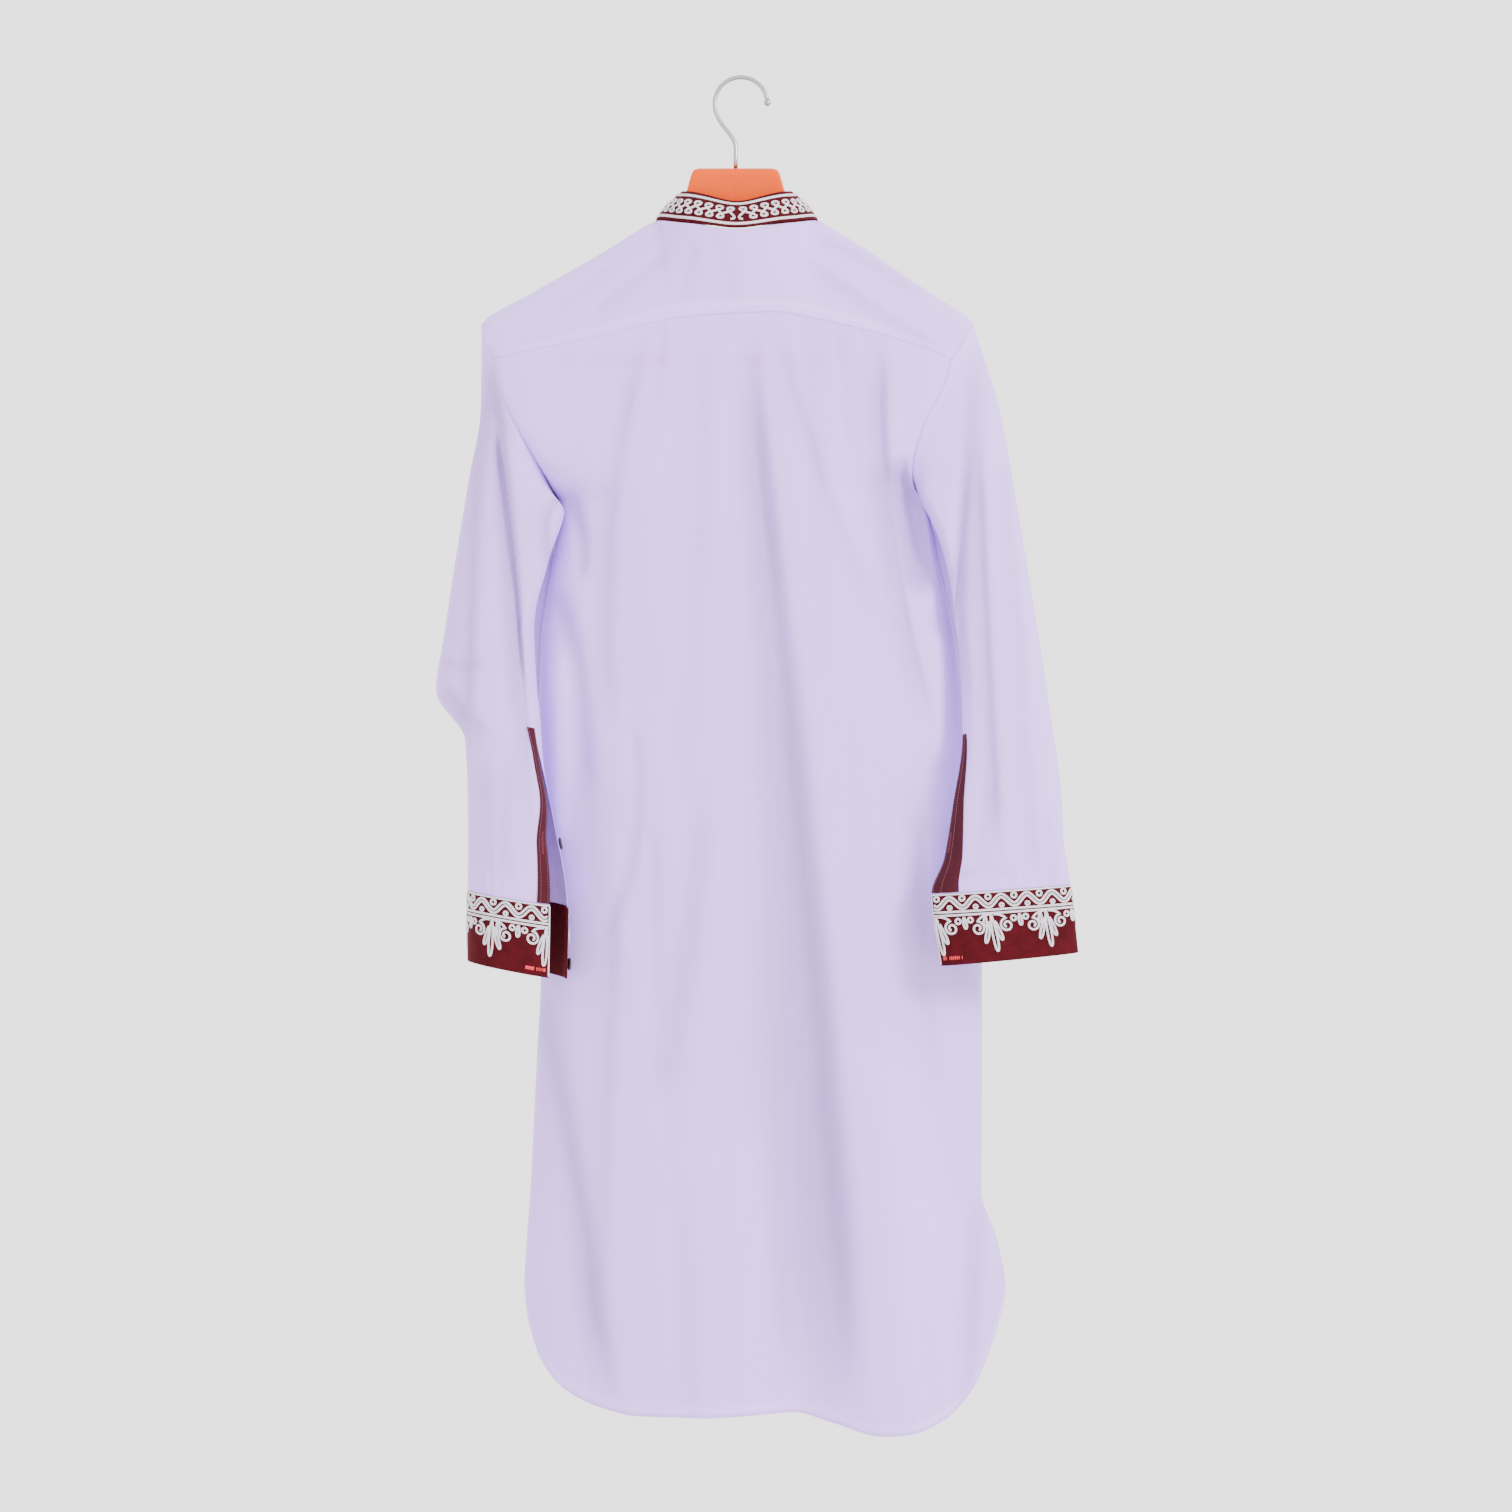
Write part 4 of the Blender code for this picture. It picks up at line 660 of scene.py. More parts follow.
def front_tops(across):
    """Top edge of the front panel: both shoulder seams and the front of the neck ring."""
    _, seam = shoulder(across)
    side = np.clip((seam_x_at(across) - NECK_X) / NECK_FOOT, -1, 1)
    half_y = (NECK_FRONT_Y - NECK_BACK_Y) / 2
    reach = (neck_corner()[0] - NECK_X) / NECK_HALF
    slope = np.tan(np.arcsin(np.abs(side) * reach))
    angle = np.sign(side) * (180 - np.degrees(np.arctan2(slope * NECK_HALF, half_y)))
    return np.where((np.abs(side) < 1)[..., None], neck_ring(angle), seam)


def side_folds(across, drop):
    """Sideways push of the fold at each side seam: nothing on the seam, most a little before it."""
    near = np.abs(across)
    push = np.zeros(np.broadcast(across, drop).shape)
    for side, fold in SIDE_FOLDS.items():
        shape = ease((1 - near) / 0.025) * ease((near - 0.8) / 0.12) * (across * side > 0)
        ends = ease((drop - fold.start) / 40) * ease((fold.end - drop) / 70)
        push = push + side * fold.reach * shape * ends
    return push


def front_surface(across, drop):
    """Front of the body: from its top edge it eases into the section within a hand's breadth."""
    top = front_tops(across)
    share = ease((drop + top[..., 2]) / NECK_EASE)[..., None]
    grid = section(across, drop, 1)
    fade = ease((1 - np.abs(across)) / 0.05) * ease((drop + top[..., 2]) / 40)
    x = grid[..., 0].copy()
    grid[..., 1] -= fade * (relief(x, drop, FRONT_CREASES) + rumple(x, drop, 8))
    grid[..., 0] += side_folds(across, drop)
    fixed = points(top[..., 0], top[..., 1], -drop)
    return fixed + (grid - fixed) * share


# Sleeves

@functools.lru_cache(maxsize=None)
def armhole_paths(side):
    """Edges that the sleeve is sewn to, from the shoulder's tip to the underarm.

    The first path runs behind, down the yoke and the back panel, and the second in
    front, down the yoke and the front panel.
    """
    column = 0 if side < 0 else -1
    strap = yoke_points(*YOKE_GRID)[:, column]
    edge = np.array([[float(side)]])
    down = np.linspace(0, 1, 90)[:, None]
    back_top = seam_drop(edge)
    back = back_surface(edge, back_top + (UNDERARM[side] - back_top) * down)[:, 0]
    front_top = -front_tops(edge)[..., 2]
    front = front_surface(edge, front_top + (UNDERARM[side] - front_top) * down)[:, 0]
    tip = int(np.argmin(np.abs(strap[:, 1] - arm_y(strap[:, 0]))))
    return [np.concatenate([strap[tip:0:-1], back]), np.concatenate([strap[tip:], front[1:]])]


def armhole(side, angle):
    """Armhole at an angle in degrees: 0 at the shoulder's tip, 90 behind, 180 at the underarm."""
    behind, before = armhole_paths(side)
    turn = np.mod(angle, 360)
    near = resample(behind, np.clip(turn / 180, 0, 1).ravel()).reshape(turn.shape + (3,))
    far = resample(before, np.clip((360 - turn) / 180, 0, 1).ravel()).reshape(turn.shape + (3,))
    return np.where((turn <= 180)[..., None], near, far)


def stations(side):
    """Share of the sleeve's length at each row of its table, along its middle."""
    rows = columns(SLEEVES[side])
    middle = np.stack([(rows[0] + rows[3]) / 2, (rows[1] + rows[4]) / 2, (rows[2] + rows[5]) / 2], -1)
    run = np.concatenate([[0], np.cumsum(np.linalg.norm(np.diff(middle, axis=0), axis=1))])
    return run / run[-1]


def slit_share(side):
    """Share of a sleeve's length where its slit starts."""
    rows = columns(SLEEVES[side])
    return np.interp(SLITS[side][1].drop, (rows[1] + rows[4]) / 2, stations(side))


def sleeve_ring(side, angle, length):
    """Rounded ring of a sleeve at a share of its length: 0 degrees outside, 90 behind."""
    at = stations(side)
    ox, od, oy, ix, idrop, iy, half = [through(at, c, length) for c in columns(SLEEVES[side])]
    turn = np.radians(angle)
    power = 2 / SLEEVE_ROUND
    c = np.sign(np.cos(turn)) * np.abs(np.cos(turn)) ** power
    s = np.sign(np.sin(turn)) * np.abs(np.sin(turn)) ** power
    x = (ox + ix) / 2 + (ox - ix) / 2 * c
    y = (oy + iy) / 2 + (oy - iy) / 2 * c - half * s
    z = -(od + idrop) / 2 - (od - idrop) / 2 * c
    return points(x, y, z)


def sleeve_surface(side, round_share, length, creased=True):
    """Point of a sleeve: the share round it starts at the slit's near edge.

    Near the body the ring is eased into the armhole, and below the slit's top the
    ring opens. Creases behind come from the photograph's side, others lie in front.
    """
    drops, near_angles, openings = columns(SLITS[side])
    rows = columns(SLEEVES[side])
    middle_drop = np.interp(length, stations(side), (rows[1] + rows[4]) / 2)
    opening = through(drops, openings, middle_drop)
    angle = through(drops, near_angles, middle_drop) - round_share * (360 - opening)
    grid = sleeve_ring(side, angle, length)
    mend = armhole(side, angle) - sleeve_ring(side, angle, np.zeros_like(length))
    mend[..., 0] += side * ARMHOLE_GAP
    grid += mend * (np.clip(1 - length / ARMHOLE_BLEND, 0, 1) ** 3)[..., None]
    end = stations(side)[-2]
    if not creased:
        return grid
    fade = ease(length / 0.06) * ease((end - length) / 0.05)
    behind = ease(np.sin(np.radians(angle)) / 0.5)
    before = ease(-np.sin(np.radians(angle)) / 0.5)
    x, drop = grid[..., 0].copy(), -grid[..., 2]
    soft = rumple(x, drop, 11 + side, 0.8)
    grid[..., 1] += fade * behind * (relief(x, drop, SLEEVE_CREASES[side]) + soft)
    grid[..., 1] -= fade * before * (relief(x, drop, SLEEVE_FRONT_CREASES) + soft)
    for b in BULGES[side]:
        gap = np.mod(angle - b.angle + 180, 360) - 180
        share = fade * bell(gap / b.angle_width) * bell((drop - b.drop) / b.drop_width)
        grid += share[..., None] * np.array([b.push_x, b.push_y, 0.0])
    gather = ease((length - end + 0.1) / 0.1) * ease((end - length) / 0.012)
    turn = np.radians(angle)
    height = gather * GATHER * np.sin(turn * 23 + 2 * np.sin(turn * 5))
    return grid + height[..., None] * points(side * np.cos(turn), -np.sin(turn), 0 * turn)


def sleeve_lengths(side):
    """Shares of a sleeve's length at its rows, and how many of them are joined round."""
    lengths = SLEEVE_START + (stations(side)[-2] - SLEEVE_START) * np.linspace(0, 1, SLEEVE_GRID[1])
    return lengths, int(np.searchsorted(lengths, slit_share(side)))


def cuff_points(side):
    """Grid of a cuff below the sleeve: rows go down, columns round from the near edge."""
    start = stations(side)[-2] - CUFF_LAP
    down = np.linspace(0, 1, CUFF_GRID[1])[:, None]
    share = np.linspace(0, 1, CUFF_GRID[0])[None, :]
    return sleeve_surface(side, share, start + (1 - start) * down + 0 * share, creased=False)


# Meshes

def mesh_from(name, verts, *faces):
    """Mesh from a point array in mm and face arrays, each of one corner count."""
    mesh = bpy.data.meshes.new(name)
    corners = np.concatenate([f.ravel() for f in faces]).astype(np.int32)
    counts = np.concatenate([np.full(len(f), f.shape[1]) for f in faces])
    starts = np.concatenate([[0], np.cumsum(counts)[:-1]]).astype(np.int32)
    mesh.vertices.add(len(verts))
    mesh.vertices.foreach_set("co", (verts * MM).astype(np.float32).ravel())
    mesh.loops.add(len(corners))
    mesh.loops.foreach_set("vertex_index", corners)
    mesh.polygons.add(len(starts))
    mesh.polygons.foreach_set("loop_start", starts)
    mesh.update(calc_edges=True)
    mesh.validate()
    return mesh


def quads(index):
    """Faces of a grid of vertex numbers."""
    corners = (index[:-1, :-1], index[1:, :-1], index[1:, 1:], index[:-1, 1:])
    return np.stack([corner.ravel() for corner in corners], axis=-1)


def outward(mesh):
    """Turns all faces of a closed mesh outwards."""
    form = bmesh.new()
    form.from_mesh(mesh)
    bmesh.ops.recalc_face_normals(form, faces=form.faces)
    form.to_mesh(mesh)
    form.free()
    return mesh


def place(name, mesh, material, nodes=()):
    """Object of a mesh that rides on the frame and stands for the solids it names."""
    mesh.materials.append(material)
    mesh.shade_smooth()
    piece = bpy.data.objects.new(name, mesh)
    bpy.context.scene.collection.objects.link(piece)
    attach(piece, "root")
    if nodes:
        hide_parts(*nodes)
    return piece


def sheet_mesh(name, grid, tone_and_painted_light, joined_rows=0, kept=None):
    """Open sheet over a grid, with a colour at each point; its first rows may be joined round."""
    index = np.arange(grid.shape[0] * grid.shape[1]).reshape(grid.shape[:2])
    index[:joined_rows, -1] = index[:joined_rows, 0]
    faces = quads(index) if kept is None else quads(index)[kept.ravel()]
    used, faces = np.unique(faces, return_inverse=True)
    mesh = mesh_from(name, grid.reshape(-1, 3)[used], faces.reshape(-1, 4))
    colours = np.ones((len(used), 4), np.float32)
    colours[:, :3] = np.broadcast_to(tone_and_painted_light, grid.shape).reshape(-1, 3)[used]
    layer = mesh.color_attributes.new("tone_and_painted_light", "FLOAT_COLOR", "POINT")
    layer.data.foreach_set("color", colours.ravel())
    return mesh


def wall(piece, thickness, rounded=0.0):
    """Gives a sheet its wall, and rounds the wall's edges where asked."""
    solidify = piece.modifiers.new("wall", "SOLIDIFY")
    solidify.thickness = thickness * MM
    solidify.offset = 0.0
    if rounded:
        bevel = piece.modifiers.new("edge", "BEVEL")
        bevel.width = rounded * MM
        bevel.segments = 2
        bevel.limit_method = "ANGLE"
        bevel.angle_limit = math.radians(50)
    return piece


Form = namedtuple("Form", "verts quads tris uv")


def carried(path, up, profile, scale=None):
    """Closed profile carried along a path, capped at both ends.

    Each ring is the path's point, plus the profile's first value times the side
    direction (along the run crossed with up), plus its second value times up.
    """
    run = np.gradient(path, axis=0)
    run /= np.maximum(np.linalg.norm(run, axis=1, keepdims=True), 1e-9)
    side = np.cross(run, up)
    side /= np.maximum(np.linalg.norm(side, axis=1, keepdims=True), 1e-9)
    scale = np.ones(len(path)) if scale is None else scale
    across = side[:, None] * profile[None, :, :1] * scale[:, None, None]
    rise = up[:, None] * profile[None, :, 1:] * scale[:, None, None]
    rings = path[:, None] + across + rise
    count, around = rings.shape[:2]
    index = np.arange(count * around).reshape(count, around)
    faces = quads(np.concatenate([index, index[:, :1]], axis=1))
    first, last = count * around, count * around + 1
    fan = [np.stack([np.roll(index[0], 1), index[0], np.full(around, first)], -1)]
    fan.append(np.stack([index[-1], np.roll(index[-1], 1), np.full(around, last)], -1))
    middles = rings[[0, -1]].mean(axis=1)
    gone = np.concatenate([[0], np.cumsum(np.linalg.norm(np.diff(path, axis=0), axis=1))])
    uv = np.stack(np.broadcast_arrays(gone[:, None], np.linspace(0, 1, around)[None, :]), -1)
    uv = np.concatenate([uv.reshape(-1, 2), [[0, 0.5], [gone[-1], 0.5]]])
    return Form(np.concatenate([rings.reshape(-1, 3), middles]), faces, np.concatenate(fan), uv)


def join(name, forms):
    """One mesh from many forms, with their UV in mm along and a share across."""
    shifts = np.concatenate([[0], np.cumsum([len(f.verts) for f in forms])[:-1]])
    mesh = mesh_from(
        name,
        np.concatenate([f.verts for f in forms]),
        np.concatenate([f.quads + s for f, s in zip(forms, shifts)]),
        np.concatenate([f.tris + s for f, s in zip(forms, shifts)]),
    )
    uv = np.concatenate([f.uv for f in forms])
    corner = np.zeros(len(mesh.loops), np.int32)
    mesh.loops.foreach_get("vertex_index", corner)
    layer = mesh.uv_layers.new(name="along")
    layer.data.foreach_set("uv", uv[corner].astype(np.float32).ravel())
    return outward(mesh)


def circle(radius, sides):
    """Round profile for a wire or cord."""
    turn = np.linspace(0, 2 * math.pi, sides, endpoint=False)
    return np.stack([radius * np.cos(turn), radius * np.sin(turn)], axis=-1)


def soutache(width, height):
    """Profile of soutache braid: two round ridges with a groove between them."""
    half = [(0.98, 0.0), (1.0, 0.42), (0.82, 0.86), (0.5, 1.0), (0.2, 0.82), (0.0, 0.52)]
    right = np.array(half)
    left = right[-2::-1] * np.array([-1, 1])
    return np.concatenate([right, left]) * np.array([width / 2, height])


def stitch_row(path, up, pitch, length, width):
    """Stitches along a path: each is a short six-sided lozenge that dips in at both ends."""
    run = np.concatenate([[0], np.cumsum(np.linalg.norm(np.diff(path, axis=0), axis=1))])
    at = np.arange(pitch / 2, run[-1] - pitch / 2, pitch)
    if len(at) == 0:
        return []
    spot = np.stack([np.interp(at, run, path[:, k]) for k in range(3)], -1)
    lift = np.stack([np.interp(at, run, up[:, k]) for k in range(3)], -1)
    ahead = np.stack([np.interp(at + 0.5, run, path[:, k]) for k in range(3)], -1) - spot
    ahead /= np.maximum(np.linalg.norm(ahead, axis=1, keepdims=True), 1e-9)
    side = np.cross(ahead, lift)
    turn = np.linspace(0, 2 * math.pi, 6, endpoint=False)
    rings = [(-0.5, 0.25, -0.3), (-0.28, 1.0, 0.25), (0.28, 1.0, 0.25), (0.5, 0.25, -0.3)]
    local = np.array([
        (a * length, s * width / 2 * math.cos(t), (s * math.sin(t) + h) * width / 2)
        for a, s, h in rings for t in turn
    ])
    verts = spot[:, None] + ahead[:, None] * local[None, :, :1] + side[:, None] * local[None, :, 1:2]
    verts = verts + lift[:, None] * local[None, :, 2:]
    index = np.arange(24).reshape(4, 6)
    faces = quads(np.concatenate([index, index[:, :1]], axis=1))
    caps = np.array([(0, k, k + 1) for k in range(1, 5)] + [(18, 18 + k + 1, 18 + k) for k in range(1, 5)])
    shift = (np.arange(len(at)) * 24)[:, None, None]
    uv = np.tile(np.stack([local[:, 0], local[:, 1]], -1), (len(at), 1))
    return [Form(verts.reshape(-1, 3), (faces[None] + shift).reshape(-1, 4),
                 (caps[None] + shift).reshape(-1, 3), uv)]


# Materials

def linear(code):
    """Linear colour of an sRGB hex code."""
    value = np.array([int(code[k:k + 2], 16) / 255 for k in (1, 3, 5)])
    value = np.where(value <= 0.04045, value / 12.92, ((value + 0.055) / 1.055) ** 2.4)
    return (*value.tolist(), 1.0)


def add(tree, kind, settings=None, inputs=None):
    """Adds a node, sets its settings, and sets or links its inputs."""
    node = tree.nodes.new(kind)
    for name, value in (settings or {}).items():
        setattr(node, name, value)
    for key, value in (inputs or {}).items():
        if isinstance(value, bpy.types.NodeSocket):
            tree.links.new(value, node.inputs[key])
        else:
            node.inputs[key].default_value = value
    return node


def surface(name, **settings):
    """New material and its tree and shader, with constants on the shader's own sockets."""
    material = bpy.data.materials.new(name)
    material.use_nodes = True
    tree = material.node_tree
    shader = tree.nodes["Principled BSDF"]
    for key, value in settings.items():
        shader.inputs[key.replace("_", " ").title().replace("Ior", "IOR")].default_value = value
    return material, tree, shader


def object_place(tree, scale):
    """Object coordinates in repeats per metre along x, y and z."""
    where = add(tree, "ShaderNodeTexCoord").outputs["Object"]
    return add(tree, "ShaderNodeMapping", None, {"Vector": where, "Scale": scale}).outputs[0]


def noise(tree, vector, scale, detail=3.0, rough=0.5):
    """Noise from 0 to 1."""
    return add(tree, "ShaderNodeTexNoise", None, {
        "Vector": vector, "Scale": scale, "Detail": detail, "Roughness": rough,
    }).outputs["Fac"]


def spread_to(tree, value, low, high, from_low=0.3, from_high=0.7):
    """Maps a value's middle range to low and high."""
    return add(tree, "ShaderNodeMapRange", None, {
        "Value": value, "From Min": from_low, "From Max": from_high, "To Min": low, "To Max": high,
    }).outputs[0]


def scaled(tree, colour, amount):
    """Colour times a number."""
    return add(tree, "ShaderNodeVectorMath", {"operation": "SCALE"}, {0: colour, "Scale": amount}).outputs[0]


def times(tree, first, second):
    """Colour times a colour."""
    return add(tree, "ShaderNodeVectorMath", {"operation": "MULTIPLY"}, {0: first, 1: second}).outputs[0]


def calc(tree, operation, first, second=0.0):
    """One sum of two numbers."""
    return add(tree, "ShaderNodeMath", {"operation": operation}, {0: first, 1: second}).outputs[0]


def bands(tree, vector, direction, pitch):
    """Even ridges from 0 to 1, a pitch in mm apart: the wave repeats each 0.314 of its scale."""
    return add(tree, "ShaderNodeTexWave", {"bands_direction": direction}, {
        "Vector": vector, "Scale": 0.31416 / (pitch * MM), "Distortion": 0.0,
    }).outputs["Fac"]


def bump(tree, height, distance, strength=1.0):
    """Bump of a height in mm."""
    return add(tree, "ShaderNodeBump", None, {
        "Height": height, "Distance": distance * MM, "Strength": strength,
    }).outputs[0]


@functools.lru_cache(maxsize=None)
def cotton_lawn(code):
    """Plain-woven cotton lawn: matt and fuzzy, with uneven warp threads that run down it."""
    material, tree, shader = surface("cotton_lawn", roughness=0.86, sheen_weight=0.18, sheen_roughness=0.5)
    where = add(tree, "ShaderNodeTexCoord").outputs["Object"]
    # Per-point colour of each piece: the doubled cloth's tone, times painted crease shade and highlight, painted bar
    # show-through and painted sleeve shade where given
    tone_and_painted_light = add(tree, "ShaderNodeAttribute", {"attribute_name": "tone_and_painted_light"}).outputs["Color"]
    slub = noise(tree, object_place(tree, (1 / (SLUB_WIDTH * MM), 1 / (SLUB_WIDTH * MM), 1 / (SLUB_LENGTH * MM))), 1.0)
    cloud = noise(tree, where, 9.0, 2.0)
    shade = calc(tree, "MULTIPLY", spread_to(tree, slub, 0.975, 1.02), spread_to(tree, cloud, 0.985, 1.012))
    base = scaled(tree, times(tree, linear(code)[:3], tone_and_painted_light), shade)
    tree.links.new(base, shader.inputs["Base Color"])
    weave = calc(tree, "MULTIPLY", bands(tree, where, "X", WEAVE_PITCH), bands(tree, where, "Z", WEAVE_PITCH))
    height = calc(tree, "ADD", weave, spread_to(tree, slub, 0.0, 0.9))
    tree.links.new(bump(tree, height, 0.05, 0.5), shader.inputs["Normal"])
    return material


@functools.lru_cache(maxsize=None)
def cotton_velvet(code):
    """Cotton velvet: deep colour face on, a red bloom at the edges, brushed in patches."""
    material, tree, shader = surface(
        "cotton_velvet", roughness=0.85, sheen_weight=0.2, sheen_roughness=0.3, specular_ior_level=0.1,
    )
    shader.inputs["Sheen Tint"].default_value = linear("#C8323C")
    where = add(tree, "ShaderNodeTexCoord").outputs["Object"]
    patch = noise(tree, where, 1 / (NAP_PATCH * MM), 4.0, 0.6)
    base = scaled(tree, linear(code)[:3], spread_to(tree, patch, 0.72, 1.25))
    tree.links.new(base, shader.inputs["Base Color"])
    pile = noise(tree, where, 1 / (0.7 * MM), 2.0)
    tree.links.new(bump(tree, pile, 0.25, 0.7), shader.inputs["Normal"])
    return material


@functools.lru_cache(maxsize=None)
def twill_binding(code):
    """Red cotton twill binding: matt, with fine slanting ribs."""
    material, tree, shader = surface("twill_binding", roughness=0.85, sheen_weight=0.05, specular_ior_level=0.15)
    where = add(tree, "ShaderNodeTexCoord").outputs["Object"]
    turned = add(tree, "ShaderNodeMapping", None, {"Vector": where, "Rotation": (0.0, math.radians(38), 0.0)})
    rib = bands(tree, turned.outputs[0], "X", TWILL_PITCH)
    patch = noise(tree, where, 1 / (14 * MM), 3.0)
    shade = calc(tree, "MULTIPLY", spread_to(tree, rib, 0.93, 1.06, 0.0, 1.0), spread_to(tree, patch, 0.92, 1.08))
    tree.links.new(scaled(tree, linear(code)[:3], shade), shader.inputs["Base Color"])
    tree.links.new(bump(tree, rib, 0.08, 0.6), shader.inputs["Normal"])
    return material


@functools.lru_cache(maxsize=None)
def silver_braid(code):
    """Rayon soutache braid: silver white, satin on its ridges, plaited across, with painted shade in its groove."""
    material, tree, shader = surface("rayon_soutache", roughness=0.5, sheen_weight=0.25, sheen_roughness=0.4)
    uv = add(tree, "ShaderNodeUVMap", {"uv_map": "along"}).outputs[0]
    parts = add(tree, "ShaderNodeSeparateXYZ", None, {0: uv})
    off = calc(tree, "ABSOLUTE", calc(tree, "SUBTRACT", parts.outputs[1], 0.5))
    slant = calc(tree, "ADD", parts.outputs[0], calc(tree, "MULTIPLY", off, 2.4))
    plait = calc(tree, "SINE", calc(tree, "MULTIPLY", slant, 2 * math.pi / BRAID_PLAIT))
    # Painted shade: the colour falls to 0.72 along the groove in the middle of the profile
    groove = spread_to(tree, off, 0.72, 1.0, 0.0, 0.07)
    shade = calc(tree, "MULTIPLY", groove, spread_to(tree, plait, 0.92, 1.04, -1.0, 1.0))
    tree.links.new(scaled(tree, linear(code)[:3], shade), shader.inputs["Base Color"])
    tree.links.new(bump(tree, plait, 0.1, 0.6), shader.inputs["Normal"])
    return material


@functools.lru_cache(maxsize=None)
def thread(name, code, roughness):
    """Polyester sewing thread: two plies with a soft shine."""
    material, tree, shader = surface(name, roughness=roughness, sheen_weight=0.2)
    uv = add(tree, "ShaderNodeUVMap", {"uv_map": "along"}).outputs[0]
    parts = add(tree, "ShaderNodeSeparateXYZ", None, {0: uv})
    ply = calc(tree, "SINE", calc(tree, "MULTIPLY", calc(tree, "ADD", parts.outputs[0], parts.outputs[1]), 9.0))
    tree.links.new(scaled(tree, linear(code)[:3], spread_to(tree, ply, 0.85, 1.08, -1, 1)), shader.inputs["Base Color"])
    return material


@functools.lru_cache(maxsize=None)
def moulded_plastic(code):
    """Injection-moulded polypropylene: even orange, satin, with the mould's parting line down its middle."""
    material, tree, shader = surface(
        "moulded_polypropylene", roughness=0.4, specular_ior_level=0.12,
    )
    where = add(tree, "ShaderNodeTexCoord").outputs["Object"]
    parts = add(tree, "ShaderNodeSeparateXYZ", None, {0: where})
    off = calc(tree, "ABSOLUTE", calc(tree, "SUBTRACT", parts.outputs[0], HANGER_X * MM))
    line = spread_to(tree, off, 0.78, 1.0, 0.0, GROOVE * MM)
    cloud = noise(tree, where, 22.0, 3.0)
    shade = calc(tree, "MULTIPLY", line, spread_to(tree, cloud, 0.97, 1.03))
    tree.links.new(scaled(tree, linear(code)[:3], shade), shader.inputs["Base Color"])
    grain = noise(tree, where, 1 / (0.9 * MM), 2.0)
    height = calc(tree, "ADD", calc(tree, "MULTIPLY", grain, 0.15), spread_to(tree, off, 0.0, 1.0, 0.0, GROOVE * MM))
    tree.links.new(bump(tree, height, 0.12, 0.35), shader.inputs["Normal"])
    return material


@functools.lru_cache(maxsize=None)
def plated_wire(code):
    """Nickel-chrome plated steel wire: bright, with fine lines from drawing it."""
    material, tree, shader = surface("plated_wire", metallic=1.0)
    where = add(tree, "ShaderNodeTexCoord").outputs["Object"]
    lines = noise(tree, where, 1 / (0.8 * MM), 2.0)
    tree.links.new(scaled(tree, linear(code)[:3], spread_to(tree, lines, 0.94, 1.04)), shader.inputs["Base Color"])
    tree.links.new(spread_to(tree, lines, 0.28, 0.4), shader.inputs["Roughness"])
    return material


@functools.lru_cache(maxsize=None)
def dark_button(code):
    """Blackened zinc button: satin, worn brighter and smoother in small patches."""
    material, tree, shader = surface("blackened_zinc", metallic=0.9)
    where = add(tree, "ShaderNodeTexCoord").outputs["Object"]
    wear = noise(tree, where, 1 / (2.5 * MM), 4.0)
    tree.links.new(scaled(tree, linear(code)[:3], spread_to(tree, wear, 0.7, 1.5)), shader.inputs["Base Color"])
    tree.links.new(spread_to(tree, wear, 0.45, 0.28), shader.inputs["Roughness"])
    return material


def studio_paper(code):
    """Matt background paper under the part, faintly uneven."""
    material, tree, shader = surface("background_paper", roughness=0.9, specular_ior_level=0.1)
    where = add(tree, "ShaderNodeTexCoord").outputs["Object"]
    cloud = noise(tree, where, 3.0, 2.0)
    tree.links.new(scaled(tree, linear(code)[:3], spread_to(tree, cloud, 0.99, 1.01)), shader.inputs["Base Color"])
    return material


# Cloth pieces

def seam_tint(amount):
    """Tint of doubled cloth: a little brighter by an amount from 0 to 1."""
    return 1 + amount[..., None] * np.array([0.1, 0.115, 0.08])


def painted_bar_show_through(x, drop):
    """Painted light where the hanger's orange bar shows pink through the back: a pink band painted into the cloth's
    colour.
    """
    band = ease((7.5 - np.abs(drop - 252)) / 3.5)
    ends = ease((x + 158) / 8) * ease((112 - x) / 8)
    patchy = 0.65 + 0.35 * np.sin(x / 23 + 1.2) * np.sin(x / 9.7)
    return 1 - (band * ends * patchy)[..., None] * np.array([0.012, 0.085, 0.12])


def painted_crease_shade(depth):
    """Painted shade and light of creased cloth: troughs, whose depth is above 0, get painted shade and ridges a painted
    highlight.
    """
    shade = 1 - 0.36 * (1 - np.exp(-np.clip(depth, 0, None) / 8)) + 0.06 * np.clip(-depth / 6, 0, 1)
    return shade[..., None] * np.ones(3)


def make_back(sizes, colours):
    """Back panel from the yoke seam to the shirt-tail hem."""
    across = spread(BACK_GRID[0])[None, :]
    down = np.linspace(0, 1, BACK_GRID[1])[:, None] ** CROWDING
    top = seam_drop(across)
    hem = hem_drop(across)
    drop = top + (hem - top) * down
    grid = back_surface(across, drop)
    hemmed = ease((sizes.hem_width / MM - (hem - drop)) / 3) * np.ones(drop.shape)
    # Painted light: a pink band where the orange bar shows through the back
    tone_and_painted_light = painted_bar_show_through(grid[..., 0], drop) * seam_tint(hemmed)
    # Painted shade in the creases' troughs and a painted highlight on their ridges
    tone_and_painted_light = tone_and_painted_light * painted_crease_shade(relief(grid[..., 0], drop, BACK_CREASES))
    grid[..., 1] -= hemmed * 0.35
    piece = place("back_cloth", sheet_mesh("back_cloth", grid, tone_and_painted_light), cotton_lawn(colours.cloth), ["back_panel"])
    wall(piece, sizes.cloth_wall / MM)
    return piece


